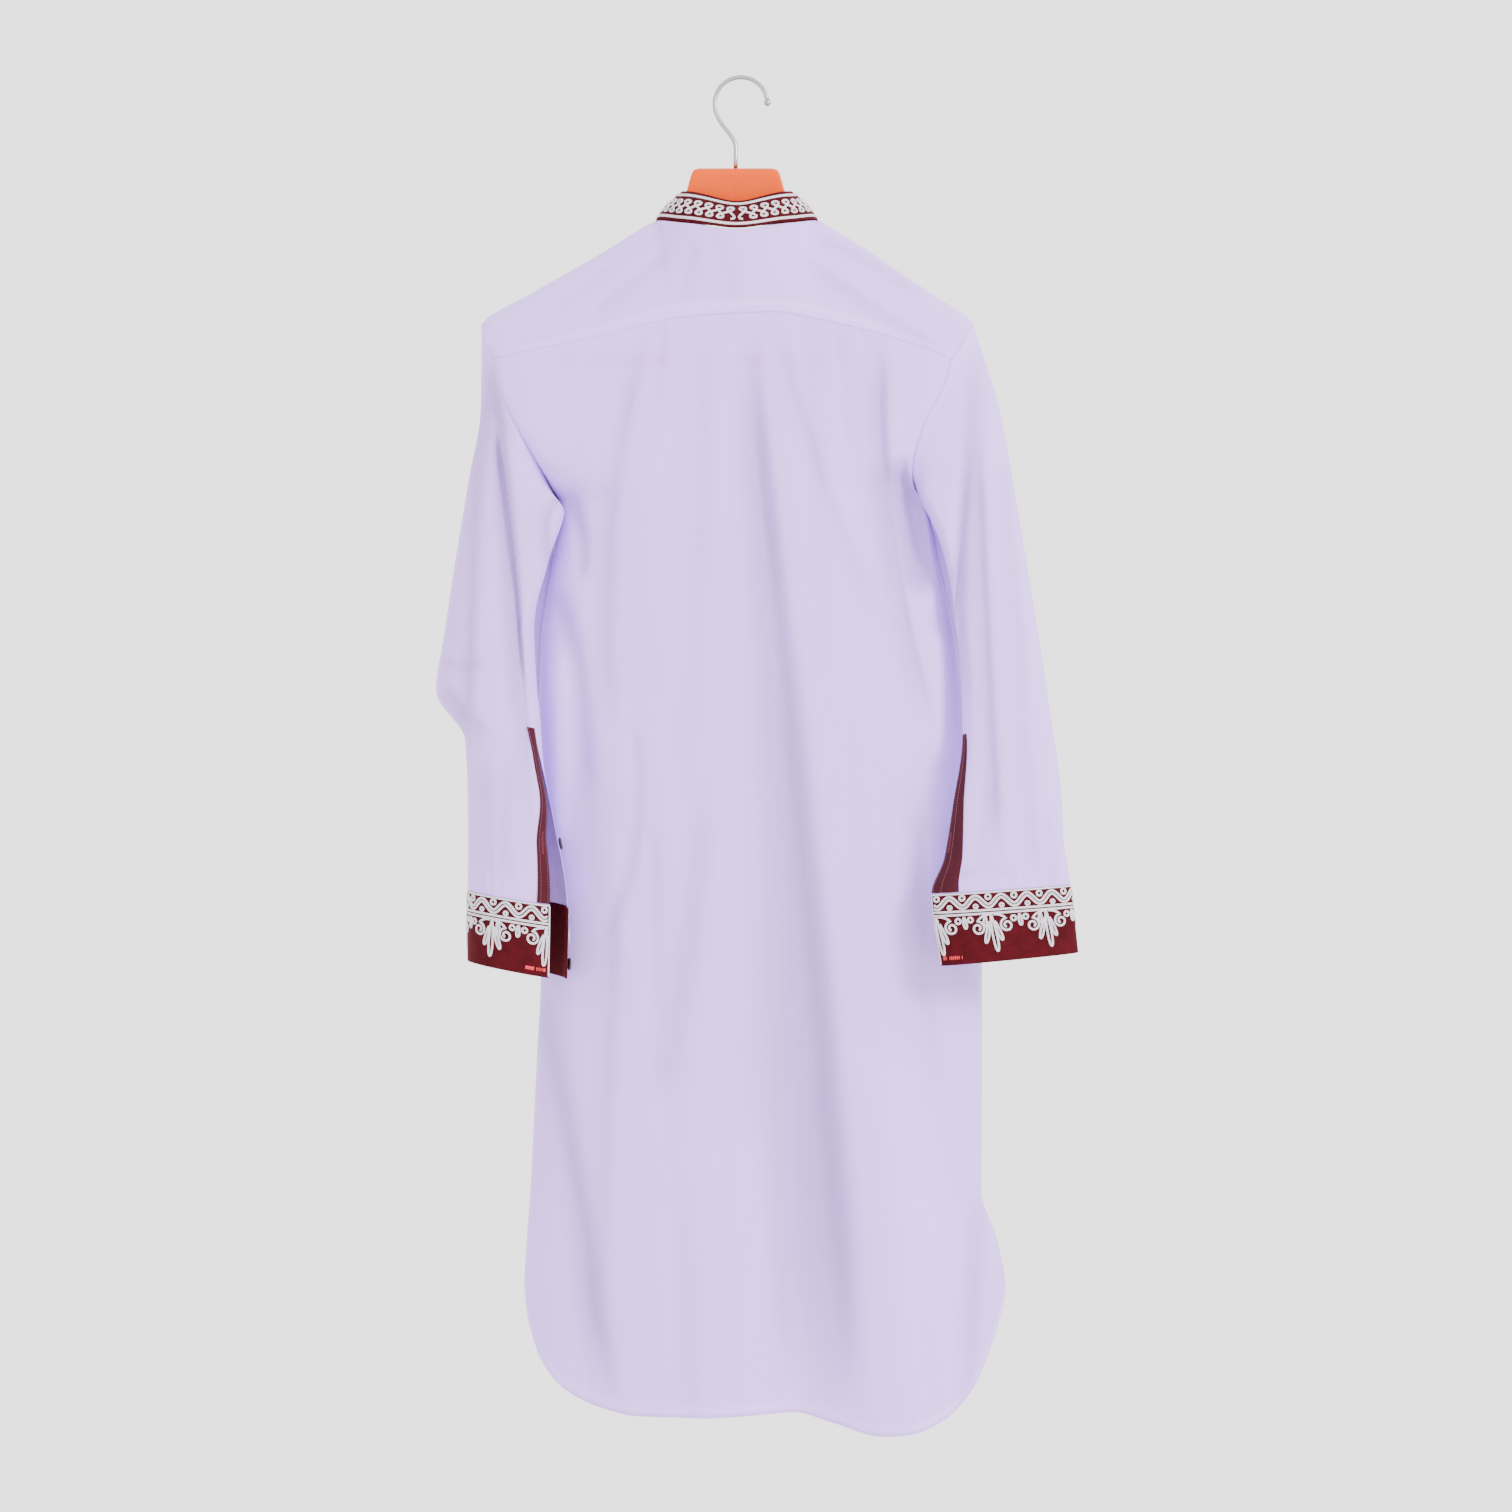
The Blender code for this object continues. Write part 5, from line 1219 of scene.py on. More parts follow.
def make_yoke(sizes, colours):
    """Yoke over both shoulders, lapped over the back panel's top edge."""
    grid = yoke_points(*YOKE_GRID)
    row = np.arange(len(grid))[:, None] / (YOKE_GRID[2] - 1)
    allowance = ease((0.17 - row) / 0.04) * np.ones(grid.shape[:2])
    tone_and_painted_light = seam_tint(allowance * 0.9)
    # Painted shade in the yoke's crease troughs and a painted highlight on their ridges
    tone_and_painted_light = tone_and_painted_light * painted_crease_shade(relief(grid[..., 0], -grid[..., 2], YOKE_CREASES) * 1.5)
    mesh = sheet_mesh("yoke_cloth", grid, tone_and_painted_light, kept=yoke_faces(*YOKE_GRID))
    piece = place("yoke_cloth", mesh, cotton_lawn(colours.cloth), ["yoke"])
    wall(piece, sizes.cloth_wall / MM)
    return piece


def make_front(sizes, colours):
    """Front panel from the shoulder seams and the neck to the hem."""
    across = spread(FRONT_GRID[0])[None, :]
    down = np.linspace(0, 1, FRONT_GRID[1])[:, None] ** CROWDING
    top = -front_tops(across)[..., 2] + 0.3
    hem = hem_drop(across)
    drop = top + (hem - top) * down
    grid = front_surface(across, drop)
    hemmed = ease((sizes.hem_width / MM - (hem - drop)) / 3) * np.ones(drop.shape)
    grid[..., 1] += hemmed * 0.35
    mesh = sheet_mesh("front_cloth", grid, seam_tint(hemmed))
    piece = place("front_cloth", mesh, cotton_lawn(colours.cloth), ["front_panel"])
    wall(piece, sizes.cloth_wall / MM)
    return piece


def front_strip(offsets, drops):
    """Points and outward normals on the front panel at offsets from its middle and at drops."""
    target = NECK_X + np.asarray(offsets, float)[None, :]
    drops = np.asarray(drops, float)[:, None] + 0 * target
    across = np.zeros(drops.shape)
    for _ in range(4):
        off = front_surface(across, drops)[..., 0] - target
        across = across - off / 205.0
    grid = front_surface(across, drops)
    normal = normals(grid)
    return grid, normal * np.sign(normal[..., 1:2])


def make_placket(sizes, colours):
    """Plain strip down the front opening, with its two rows of stitches."""
    top = NECK_DROPS[-1].neck_drop + 1.0
    drops = np.linspace(top, top + PLACKET_LENGTH, 120)
    offsets = np.linspace(-0.5, 0.5, 9) * PLACKET_WIDTH
    grid, normal = front_strip(offsets, drops)
    grid = grid + normal * (sizes.cloth_wall / MM + 0.25)
    mesh = sheet_mesh("placket_cloth", grid, seam_tint(np.ones(grid.shape[:2])))
    piece = place("placket_cloth", mesh, cotton_lawn(colours.cloth), ["front_placket"])
    wall(piece, sizes.cloth_wall / MM)
    return piece


def make_sleeve(side, sizes, colours):
    """Sleeve from the armhole to the cuff, open along its slit."""
    hand = "left" if side < 0 else "right"
    lengths, joined = sleeve_lengths(side)
    share = np.linspace(0, 1, SLEEVE_GRID[0])[None, :]
    grid = sleeve_surface(side, share, lengths[:, None] + 0 * share)
    seam = ease((0.016 - lengths[:, None]) / 0.006) * np.ones(grid.shape[:2])
    # Painted shade: the left sleeve's colour is a little darker and warmer, as it lies turned from the key light on the
    # right
    painted_sleeve_shade = np.array([0.965, 0.96, 0.93]) if side < 0 else np.array([1.0, 1.0, 1.0])
    name = "sleeve_%s_cloth" % hand
    # Painted shade in the sleeve's crease troughs and a painted highlight on their ridges
    tone_and_painted_light = painted_crease_shade(relief(grid[..., 0], -grid[..., 2], SLEEVE_CREASES[side]) * 1.3)
    mesh = sheet_mesh(name, grid, seam_tint(seam) * painted_sleeve_shade * tone_and_painted_light, joined)
    piece = place(name, mesh, cotton_lawn(colours.cloth), ["sleeve_" + hand])
    wall(piece, sizes.cloth_wall / MM)
    return piece


def band_strip(side, width_top, width_low, columns_across=7, rows=90):
    """Points of the slit's near edge strip, and its outward normals; it widens downwards."""
    start = slit_share(side)
    end = stations(side)[-2] - 0.004
    length = np.linspace(start, end, rows)[:, None]
    share = np.linspace(0, 1, columns_across)[None, :] * (width_top + (width_low - width_top) * (length - start) / (end - start))
    grid = sleeve_surface(side, 0.001 + share, length + 0 * share)
    ring = sleeve_surface(side, np.linspace(0, 1, 40)[None, :], length + 0 * np.zeros((1, 40)))
    normal = normals(grid)
    out = grid - ring.mean(axis=1, keepdims=True)
    return grid, normal * np.sign((normal * out).sum(axis=-1, keepdims=True))


def make_band(side, sizes, colours):
    """Dark red binding on the slit's near edge."""
    hand = "left" if side < 0 else "right"
    widths = (0.036, 0.056) if side < 0 else (0.04, 0.13)
    grid, normal = band_strip(side, *widths)
    grid = grid + normal * (sizes.cloth_wall / MM + 0.3)
    name = "band_%s_binding" % hand
    mesh = sheet_mesh(name, grid, np.ones(3))
    piece = place(name, mesh, twill_binding(colours.binding), ["sleeve_band_" + hand])
    wall(piece, 0.6)
    return piece


# Velvet pieces and their braid

@functools.lru_cache(maxsize=None)
def collar_grid():
    """Collar surface: rows go up from the neck seam, columns from the left front round the back."""
    count, rows = COLLAR_GRID
    gap = math.degrees(COLLAR_FRONT_GAP / 2 / COLLAR_TOP_HALF)
    angle = np.linspace(-180 + gap, 180 - gap, count)[None, :]
    up = np.linspace(0, 1, rows)[:, None]
    low, high = neck_ring(angle), collar_ring(angle)
    run = high - low
    low = low + run / np.linalg.norm(run, axis=-1, keepdims=True) * COLLAR_LIFT
    turn = np.radians(angle)
    outwards = points(np.sin(turn), -np.cos(turn), np.zeros_like(turn))
    belly = COLLAR_LEAN_OUT * np.sin(math.pi * up)
    return low + (high - low) * up[..., None] + outwards * belly[..., None]


class Chart:
    """Lays flat patterns on a grid: u in mm along its middle row, v in mm from its first row."""

    def __init__(self, grid, lift):
        self.grid = grid
        self.normal = away(grid, grid)
        middle = grid[grid.shape[0] // 2]
        self.run = np.concatenate([[0], np.cumsum(np.linalg.norm(np.diff(middle, axis=0), axis=1))])
        self.height = np.linalg.norm(np.diff(grid, axis=0), axis=-1).sum(axis=0)
        self.lift = lift

    def length(self):
        return self.run[-1]

    def lay(self, stroke, height):
        """Points and normals of a flat stroke; `height` is the pattern's own full height."""
        column = np.interp(stroke[:, 0], self.run, np.arange(len(self.run)))
        row = np.clip(stroke[:, 1] / height, 0, 1) * (self.grid.shape[0] - 1)
        normal = on_grid(self.normal, row, column)
        normal /= np.linalg.norm(normal, axis=-1, keepdims=True)
        return on_grid(self.grid, row, column) + normal * self.lift, normal


def stroke_line(u0, v0, u1, v1, step=2.0):
    """Straight stroke."""
    count = max(int(math.hypot(u1 - u0, v1 - v0) / step), 2)
    return np.stack([np.linspace(u0, u1, count), np.linspace(v0, v1, count)], -1)


def ring_stroke(u, v, radius):
    """Small round loop, closed on itself."""
    turn = np.linspace(0, 2 * math.pi * 1.02, 15)
    return np.stack([u + radius * np.sin(turn), v - radius * np.cos(turn)], -1)


def drop_stroke(u, top, bottom, half, lean):
    """Hanging loop: down one side and up the other, widest near its foot.

    The depth follows half of one minus the cosine of the turn, the width its sine.
    """
    turn = np.linspace(0, 2 * math.pi, max(int((bottom - top) * 1.7), 16))
    fall = (1 - np.cos(turn)) / 2
    return np.stack([u + lean * fall + half * np.sin(turn) * (0.45 + 0.55 * fall), top + (bottom - top) * fall], -1)


def curl_stroke(u, v, hand, radius, root_u, root_v):
    """Curl: an arc from its root over to a coil of one turn and a half that closes in.

    The coil's radius falls evenly with its turn.
    """
    turn = np.linspace(0, 2 * math.pi * 1.45, 30)
    size = radius - (radius - 1.45) * turn / turn[-1]
    coil = np.stack([u - hand * size * np.sin(turn), v - size * np.cos(turn)], -1)
    t = np.linspace(0, 1, 9)[:-1, None]
    root, bend = np.array([root_u, root_v]), np.array([(root_u + u) / 2, min(root_v, v - radius) - 0.4])
    lead = root * (1 - t) ** 2 + bend * 2 * t * (1 - t) + coil[0] * t ** 2
    return np.concatenate([lead, coil])


def collar_strokes(chart, height):
    """Border lines and, between them, a slanting chain of loops, mirrored about the back's middle.

    Along the chain u is the unit times t less a sine of twice its turn, and v swings
    as the cosine, so the line crosses itself at both ends of each swing.
    """
    end = chart.length()
    low, high, edge = 4.0, height - 5.2, 3.2
    borders = [stroke_line(edge, low, end - edge, low), stroke_line(edge, high, end - edge, high)]
    borders += [stroke_line(u, low, u, high) for u in (edge, end - edge)]
    half = end / 2 - edge - 3.5
    chain = []
    for hand in (-1, 1):
        t = np.arange(0, half / COLLAR_UNIT, 1 / 34)
        swing = np.cos(2 * math.pi * t)
        u = COLLAR_UNIT * (t - COLLAR_LOOP * np.sin(4 * math.pi * t)) + COLLAR_SLANT * COLLAR_UNIT * (1 + swing)
        v = (low + high) / 2 - COLLAR_SWING * swing
        chain.append(np.stack([end / 2 + hand * np.clip(u, 0, half), v], -1))
    return borders, chain


def wave_strokes(end):
    """Two parallel waves with small rings in their hollows, above and below."""
    u = np.arange(2.0, end - 2.0, 1.15)
    turn = 2 * math.pi * u / CUFF_WAVE
    slope = CUFF_SWING * 2 * math.pi / CUFF_WAVE * np.cos(turn)
    strokes = []
    for off in (-1.35, 1.35):
        shift = off / np.sqrt(1 + slope ** 2)
        strokes.append(np.stack([u - slope * shift, 8.4 + CUFF_SWING * np.sin(turn) + shift], -1))
    for k in range(int(end / CUFF_WAVE) + 1):
        crest, hollow = (k + 0.75) * CUFF_WAVE, (k + 0.25) * CUFF_WAVE
        if 4 < hollow < end - 4:
            strokes.append(ring_stroke(hollow, 4.6, CUFF_RING))
        if 4 < crest < end - 4:
            strokes.append(ring_stroke(crest, 12.4, CUFF_RING * 0.72))
    return strokes


def pendant_strokes(middle):
    """Large hanging spray: a long loop, a shorter one on either side, and a curl beyond each."""
    top = CUFF_LINE - 0.6
    return [
        drop_stroke(middle - 0.6, top, 51.0, 2.3, 2.0),
        drop_stroke(middle - 2.2, top + 6, 43.5, 1.9, -5.4),
        drop_stroke(middle + 2.0, top + 6, 42.0, 1.9, 4.6),
        curl_stroke(middle - 12.8, 31.0, -1, 5.9, middle - 2.0, top),
        curl_stroke(middle + 12.0, 29.6, 1, 5.9, middle + 1.6, top),
        drop_stroke(middle - 5.6, top + 1, 30.0, 1.7, -1.0),
    ]


def trefoil_strokes(middle):
    """Small spray between two large ones: a loop with a ring on either side."""
    top = CUFF_LINE + 0.4
    return [
        drop_stroke(middle, top, 30.5, 1.7, 0.6),
        ring_stroke(middle - 5.2, top + 3.2, 2.1),
        ring_stroke(middle + 5.2, top + 2.6, 2.0),
    ]


def cuff_strokes(chart):
    """All braid of a cuff, from its top edge down, that lies on the cloth."""
    end = chart.length()
    strokes = wave_strokes(end)
    strokes += [stroke_line(1.5, v, end - 1.5, v) for v in (CUFF_LINE - 4.6, CUFF_LINE - 1.7)]
    middle = 4.0
    while middle < end + 20:
        strokes += pendant_strokes(middle) + trefoil_strokes(middle + PENDANT_PITCH / 2)
        middle += PENDANT_PITCH
    kept = []
    for stroke in strokes:
        inside = (stroke[:, 0] > 1.2) & (stroke[:, 0] < end - 1.2)
        runs = np.split(np.arange(len(stroke)), np.flatnonzero(np.diff(inside.astype(int))) + 1)
        kept += [stroke[r] for r in runs if inside[r[0]] and len(r) > 3]
    return kept


def braid_forms(chart, strokes, height, width, thickness):
    """Soutache carried along all strokes of a pattern; later strokes lie a little higher."""
    profile = soutache(width, thickness)
    forms = []
    for k, stroke in enumerate(strokes):
        path, up = chart.lay(stroke, height)
        forms.append(carried(path + up * 0.06 * (k % 5), up, profile))
    return forms


def make_collar(sizes, colours):
    """Velvet stand collar and its braid."""
    grid = collar_grid()
    mesh = sheet_mesh("collar_velvet", grid, np.ones(3))
    piece = place("collar_velvet", mesh, cotton_velvet(colours.velvet), ["collar"])
    wall(piece, sizes.velvet_wall / MM, 0.5)
    chart = Chart(grid, sizes.velvet_wall / MM / 2 - 0.1)
    height = float(np.median(chart.height))
    borders, chain = collar_strokes(chart, height)
    forms = braid_forms(chart, borders, height, sizes.braid_width / MM, 1.25)
    forms += braid_forms(chart, chain, height, sizes.braid_width * FINE_BRAID / MM, 1.1)
    place("collar_braid", join("collar_braid", forms), silver_braid(colours.braid))


def make_cuff(side, sizes, colours):
    """Open velvet cuff with its braid, edge piping and worked buttonhole."""
    hand = "left" if side < 0 else "right"
    grid = cuff_points(side)
    name = "cuff_%s_velvet" % hand
    piece = place(name, sheet_mesh(name, grid, np.ones(3)), cotton_velvet(colours.velvet), ["cuff_" + hand])
    wall(piece, sizes.velvet_wall / MM, 0.5)
    chart = Chart(grid, sizes.velvet_wall / MM / 2 - 0.1)
    height = float(np.median(chart.height))
    forms = braid_forms(chart, cuff_strokes(chart), height, sizes.braid_width * FINE_BRAID / MM, 1.1)
    thin = circle(0.75, 8)
    for stroke in (stroke_line(0.4, 0.9, chart.length() - 0.4, 0.9), stroke_line(0.5, 1.0, 0.5, height - 1)):
        path, up = chart.lay(stroke, height)
        forms.append(carried(path, up, thin))
    place("cuff_%s_braid" % hand, join("cuff_braid", forms), silver_braid(colours.braid))
    return chart, height


def make_satin(charts, sizes, colours):
    """Bright red worked buttonholes: satin stitches side by side, on each cuff."""
    forms = []
    for chart, height in charts:
        line = stroke_line(4.0, height - 6.0, 21.0, height - 6.0, 0.6)
        path, up = chart.lay(line, height)
        across = np.cross(np.gradient(path, axis=0), up)
        across /= np.linalg.norm(across, axis=1, keepdims=True)
        for k in range(len(path)):
            ends = np.stack([path[k] - across[k] * 1.7, path[k], path[k] + across[k] * 1.7])
            forms += stitch_row(ends + up[k] * 0.35, np.repeat(up[k:k + 1], 3, 0), 3.4, 3.4, 0.85)
    place("buttonholes", join("buttonholes", forms), thread("satin_thread_red", colours.satin, 0.3))


# Seams

def surface_line(surface, first, second, outward_y):
    """Path on a surface of two parameters, with its outward normals."""
    rows = [surface(first, second + off) for off in (-1.0, 0.0, 1.0)]
    grid = np.stack(rows)
    normal = normals(grid)[1]
    return grid[1], normal * np.sign(normal[:, 1:2]) * outward_y


def make_seams(sizes, colours):
    """White stitches of yoke, hem and placket, red stitches on the slits' bindings, and the felled ridge of each
    armhole.
    """
    forms = []
    lift = sizes.cloth_wall / MM / 2
    across = np.linspace(-0.985, 0.985, 220)
    pitch, length, width = sizes.stitch_pitch / MM, sizes.stitch_pitch / MM * 0.72, 0.42
    for surface_at, way in ((back_surface, -1), (front_surface, 1)):
        path, up = surface_line(surface_at, across, hem_drop(across) - sizes.hem_width / MM, way)
        forms += stitch_row(path + up * (lift + 0.15), up, pitch, length, width)
    grid = yoke_points(*YOKE_GRID)
    row = 1.4
    columns_at = np.linspace(1, grid.shape[1] - 2, 300)
    path = on_grid(grid, np.full(300, row), columns_at)
    up = on_grid(away(grid[:YOKE_GRID[2] - 6], grid), np.full(300, row), columns_at)
    up = up * np.sign(-up[:, 1:2])
    forms += stitch_row(path + up * (lift + 0.1), up, pitch, length, width)
    top = NECK_DROPS[-1].neck_drop + 3.0
    drops = np.linspace(top, top + PLACKET_LENGTH - 6, 140)
    strip, normal = front_strip(np.array([-0.5, -0.4, 0.0, 0.4, 0.5]) * PLACKET_WIDTH, drops)
    for k in (1, 3):
        forms += stitch_row(strip[:, k] + normal[:, k] * (lift * 3 + 0.35), normal[:, k], pitch, length, width)
    place("white_stitches", join("white_stitches", forms), thread("cotton_thread_white", colours.cloth, 0.6))
    ridges = []
    for side in (-1, 1):
        path = armhole(side, np.linspace(2, 358, 260))
        path[:, 0] += side * 0.3
        out = path - path.mean(axis=0)
        out /= np.linalg.norm(out, axis=1, keepdims=True)
        ridges.append(carried(path, out, circle(0.75, 8)))
    mesh = join("armhole_seams", ridges)
    layer = mesh.color_attributes.new("tone_and_painted_light", "FLOAT_COLOR", "POINT")
    layer.data.foreach_set("color", np.ones(len(mesh.vertices) * 4, np.float32))
    place("armhole_seams", mesh, cotton_lawn(colours.cloth))
    red = []
    for side, widths in ((-1, (0.036, 0.052)), (1, (0.034, 0.075))):
        strip, normal = band_strip(side, *widths)
        for k in (1, 5):
            red += stitch_row(strip[:, k] + normal[:, k] * (lift * 2 + 0.75), normal[:, k], pitch * 0.8, length * 0.8, 0.36)
        low, high = int(len(strip) * 0.62), int(len(strip) * 0.74)
        for k in range(low, high):
            ends = strip[k, 2:5:2] + normal[k, 2:5:2] * (lift * 2 + 0.75)
            red += stitch_row(ends, normal[k, 2:5:2], float(np.linalg.norm(ends[1] - ends[0])) * 0.99, 2.2, 0.4)
    place("red_stitches", join("red_stitches", red), thread("cotton_thread_red", colours.stitch, 0.5))


# Buttons

def node_points(node):
    """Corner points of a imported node, in mm."""
    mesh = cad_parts[node].data
    where = np.zeros(len(mesh.vertices) * 3)
    mesh.vertices.foreach_get("co", where)
    return where.reshape(-1, 3) / MM


def turned(centre, axis, profile, sides):
    """Profile of radius and height turned about an axis through a centre."""
    guess = np.array([0.0, 0.0, 1.0]) if abs(axis[2]) < 0.9 else np.array([1.0, 0.0, 0.0])
    first = np.cross(axis, guess)
    first /= np.linalg.norm(first)
    second = np.cross(axis, first)
    turn = np.linspace(0, 2 * math.pi, sides, endpoint=False)
    ring = first * np.cos(turn)[:, None] + second * np.sin(turn)[:, None]
    rows = centre + ring[None] * profile[:, None, :1] + axis * profile[:, None, 1:]
    index = np.arange(len(profile) * sides).reshape(len(profile), sides)
    faces = quads(np.concatenate([index, index[:, :1]], axis=1))
    poles = rows[[0, -1]].mean(axis=1)
    low, high = len(profile) * sides, len(profile) * sides + 1
    tris = np.concatenate([
        np.stack([np.roll(index[0], 1), index[0], np.full(sides, low)], -1),
        np.stack([index[-1], np.roll(index[-1], 1), np.full(sides, high)], -1),
    ])
    verts = np.concatenate([rows.reshape(-1, 3), poles])
    return Form(verts, faces, tris, np.zeros((len(verts), 2)))


def make_buttons(sizes, colours):
    """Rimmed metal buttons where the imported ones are, each sewn on with two red stitches."""
    profile = np.array([(0.0, -1.2), (3.4, -1.2), (5.0, -0.7), (5.5, 0.1), (5.3, 0.9), (4.6, 1.25), (4.0, 1.0), (3.4, 0.6), (0.0, 0.5)])
    sewn = []
    for node in sorted(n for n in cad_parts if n.startswith("button_")):
        where = node_points(node)
        centre = where.mean(axis=0)
        axis = np.linalg.svd(where - centre, full_matrices=False)[2][2]
        home = np.array([centre[0], 0.0, centre[2]])
        if "front" not in node:
            side = -1 if "left" in node else 1
            rows = SLEEVES[side]
            drops, xs = columns(rows)[1], (columns(rows)[0] + columns(rows)[3]) / 2
            home = np.array([np.interp(-centre[2], drops, xs), -60.0, centre[2]])
        axis = axis * np.sign((axis * (centre - home)).sum())
        form = turned(centre, axis, profile, 28)
        place(node + "_metal", join(node, [form]), dark_button(colours.metal), [node])
        across = np.cross(axis, [0.0, 0.0, 1.0])
        across /= np.linalg.norm(across)
        for off in (-0.9, 0.9):
            spot = centre + axis * 0.75 + np.array([0, 0, off])
            ends = np.stack([spot - across * 1.3, spot, spot + across * 1.3])
            sewn += stitch_row(ends, np.repeat(axis[None], 3, 0), 2.6, 2.6, 0.8)
    place("button_thread", join("button_thread", sewn), thread("button_thread_red", colours.satin, 0.45))


# Hanger

def hanger_section(reach):
    """Section of the hanger at a reach from its middle: a round top over upright sides."""
    x = HANGER_X + reach
    half = float(arm_half(np.array(x)))
    top = float(ridge_drop(np.array(x))) + SHOULDER_EASE
    block_reach, block_drops = columns(BLOCK_OUTLINE)
    if abs(reach) < block_reach[-1]:
        top = float(through(block_reach, block_drops, abs(reach)))
    low = max(top + ARM_HEIGHT, 128.0 - 0.02 * abs(reach))
    end = np.clip((HANGER_HALF - abs(reach)) / 12, 0, 1)
    shrink = math.sqrt(1 - (1 - end) ** 2 * 0.75)
    middle = (top + half + low) / 2
    turn = np.linspace(-90, 90, 21) * math.pi / 180
    y = np.concatenate([half * np.sin(turn), half * np.array([0.99, 0.92, 0.7, -0.7, -0.92, -0.99])])
    drop = np.concatenate([top + half - half * np.cos(turn), low - np.array([4.5, 2.0, 0, 0, 2.0, 4.5])])
    drop = middle + (drop - middle) * shrink
    return points(x, float(arm_y(np.array(x))) + y * shrink, -drop)


def make_hanger(sizes, colours):
    """Moulded hanger: both arms and the neck block in one loft, and its bar."""
    inner = list(np.arange(0, 34, 4.0)) + [36, 37.5, 39, 40, 40.8, 41.4, 41.9, 43, 45, 48, 52, 56]
    outer = list(np.linspace(60, HANGER_HALF - 14, 26)) + [HANGER_HALF - k for k in (11, 8, 5, 3, 1.5, 0.5, 0)]
    reaches = [-r for r in (inner + outer)[:0:-1]] + inner + outer
    grid = np.stack([hanger_section(r) for r in reaches])
    count, ring = grid.shape[:2]
    index = np.arange(count * ring).reshape(count, ring)
    faces = quads(np.concatenate([index, index[:, :1]], axis=1))
    poles = grid[[0, -1]].mean(axis=1)
    tris = np.concatenate([
        np.stack([np.roll(index[0], 1), index[0], np.full(ring, count * ring)], -1),
        np.stack([index[-1], np.roll(index[-1], 1), np.full(ring, count * ring + 1)], -1),
    ])
    verts = np.concatenate([grid.reshape(-1, 3), poles])
    mesh = join("hanger_moulding", [Form(verts, faces, tris, np.zeros((len(verts), 2)))])
    place("hanger_moulding", mesh, moulded_plastic(colours.plastic), ["hanger"])
    path = bar_path()
    mesh = join("hanger_bar_moulding", [carried(path, np.tile([0.0, 1.0, 0.0], (len(path), 1)), circle(BAR_RADIUS, 24))])
    place("hanger_bar_moulding", mesh, moulded_plastic(colours.plastic), ["hanger_bar"])


def bar_path():
    """Bar's middle: down from one arm, round a bend, across and up into the other."""
    turn = np.radians(np.linspace(0, 90, 13))[:, None]
    ends = []
    for side in (-1, 1):
        form = hanger_section(side * BAR_HALF)
        ends.append(np.array([HANGER_X + side * BAR_HALF, form[:, 1].mean(), form[:, 2].min() - 0.2]))
    path = [ends[0][None]]
    for end, side in zip(ends, (-1, 1)):
        centre = np.array([end[0] - side * BAR_BEND, end[1], -BAR_DROP + BAR_BEND])
        arc = centre + BAR_BEND * np.concatenate([side * np.cos(turn), 0 * turn, -np.sin(turn)], axis=1)
        path.append(arc if side < 0 else arc[::-1])
    path.append(ends[1][None])
    return np.concatenate(path)


def make_hook(sizes, colours):
    """Rail hook: a stem, an easing bend, an arc over the rail and a ball end."""
    t = np.linspace(0, 1, 26)[:, None]
    corners = [np.array([HANGER_X, 0, -60]), np.array([HANGER_X, 0, -48])]
    corners += [np.array([-HOOK_RADIUS, 0, -40]), np.array([-HOOK_RADIUS, 0, -21.3])]
    bend = corners[0] * (1 - t) ** 3 + corners[1] * 3 * t * (1 - t) ** 2
    bend = bend + corners[2] * 3 * t ** 2 * (1 - t) + corners[3] * t ** 3
    stem = np.array([[HANGER_X, 0, -BLOCK_DROP + 0.2], [HANGER_X, 0, -BLOCK_DROP + 9]])
    turn = np.radians(np.linspace(176, 12, 60))[:, None]
    centre = np.array([[0, 0, HOOK_WIRE - HOOK_RADIUS]])
    arc = centre + HOOK_RADIUS * np.concatenate([np.cos(turn), 0 * turn, np.sin(turn)], axis=1)
    ball = np.radians(np.linspace(40, 172, 14))
    fall = np.radians(8) - HOOK_BALL * (np.cos(ball[0]) - np.cos(ball)) / HOOK_RADIUS
    tip = centre + HOOK_RADIUS * np.stack([np.cos(fall), 0 * fall, np.sin(fall)], axis=1)
    path = np.concatenate([stem, bend, arc, tip])
    scale = np.concatenate([np.ones(len(path) - len(ball)), HOOK_BALL * np.sin(ball) / HOOK_WIRE])
    up = np.tile([0.0, 1.0, 0.0], (len(path), 1))
    mesh = join("hook_wire", [carried(path, up, circle(HOOK_WIRE, 20), scale)])
    place("hook_wire", mesh, plated_wire(colours.wire), ["hook"])


# Stage

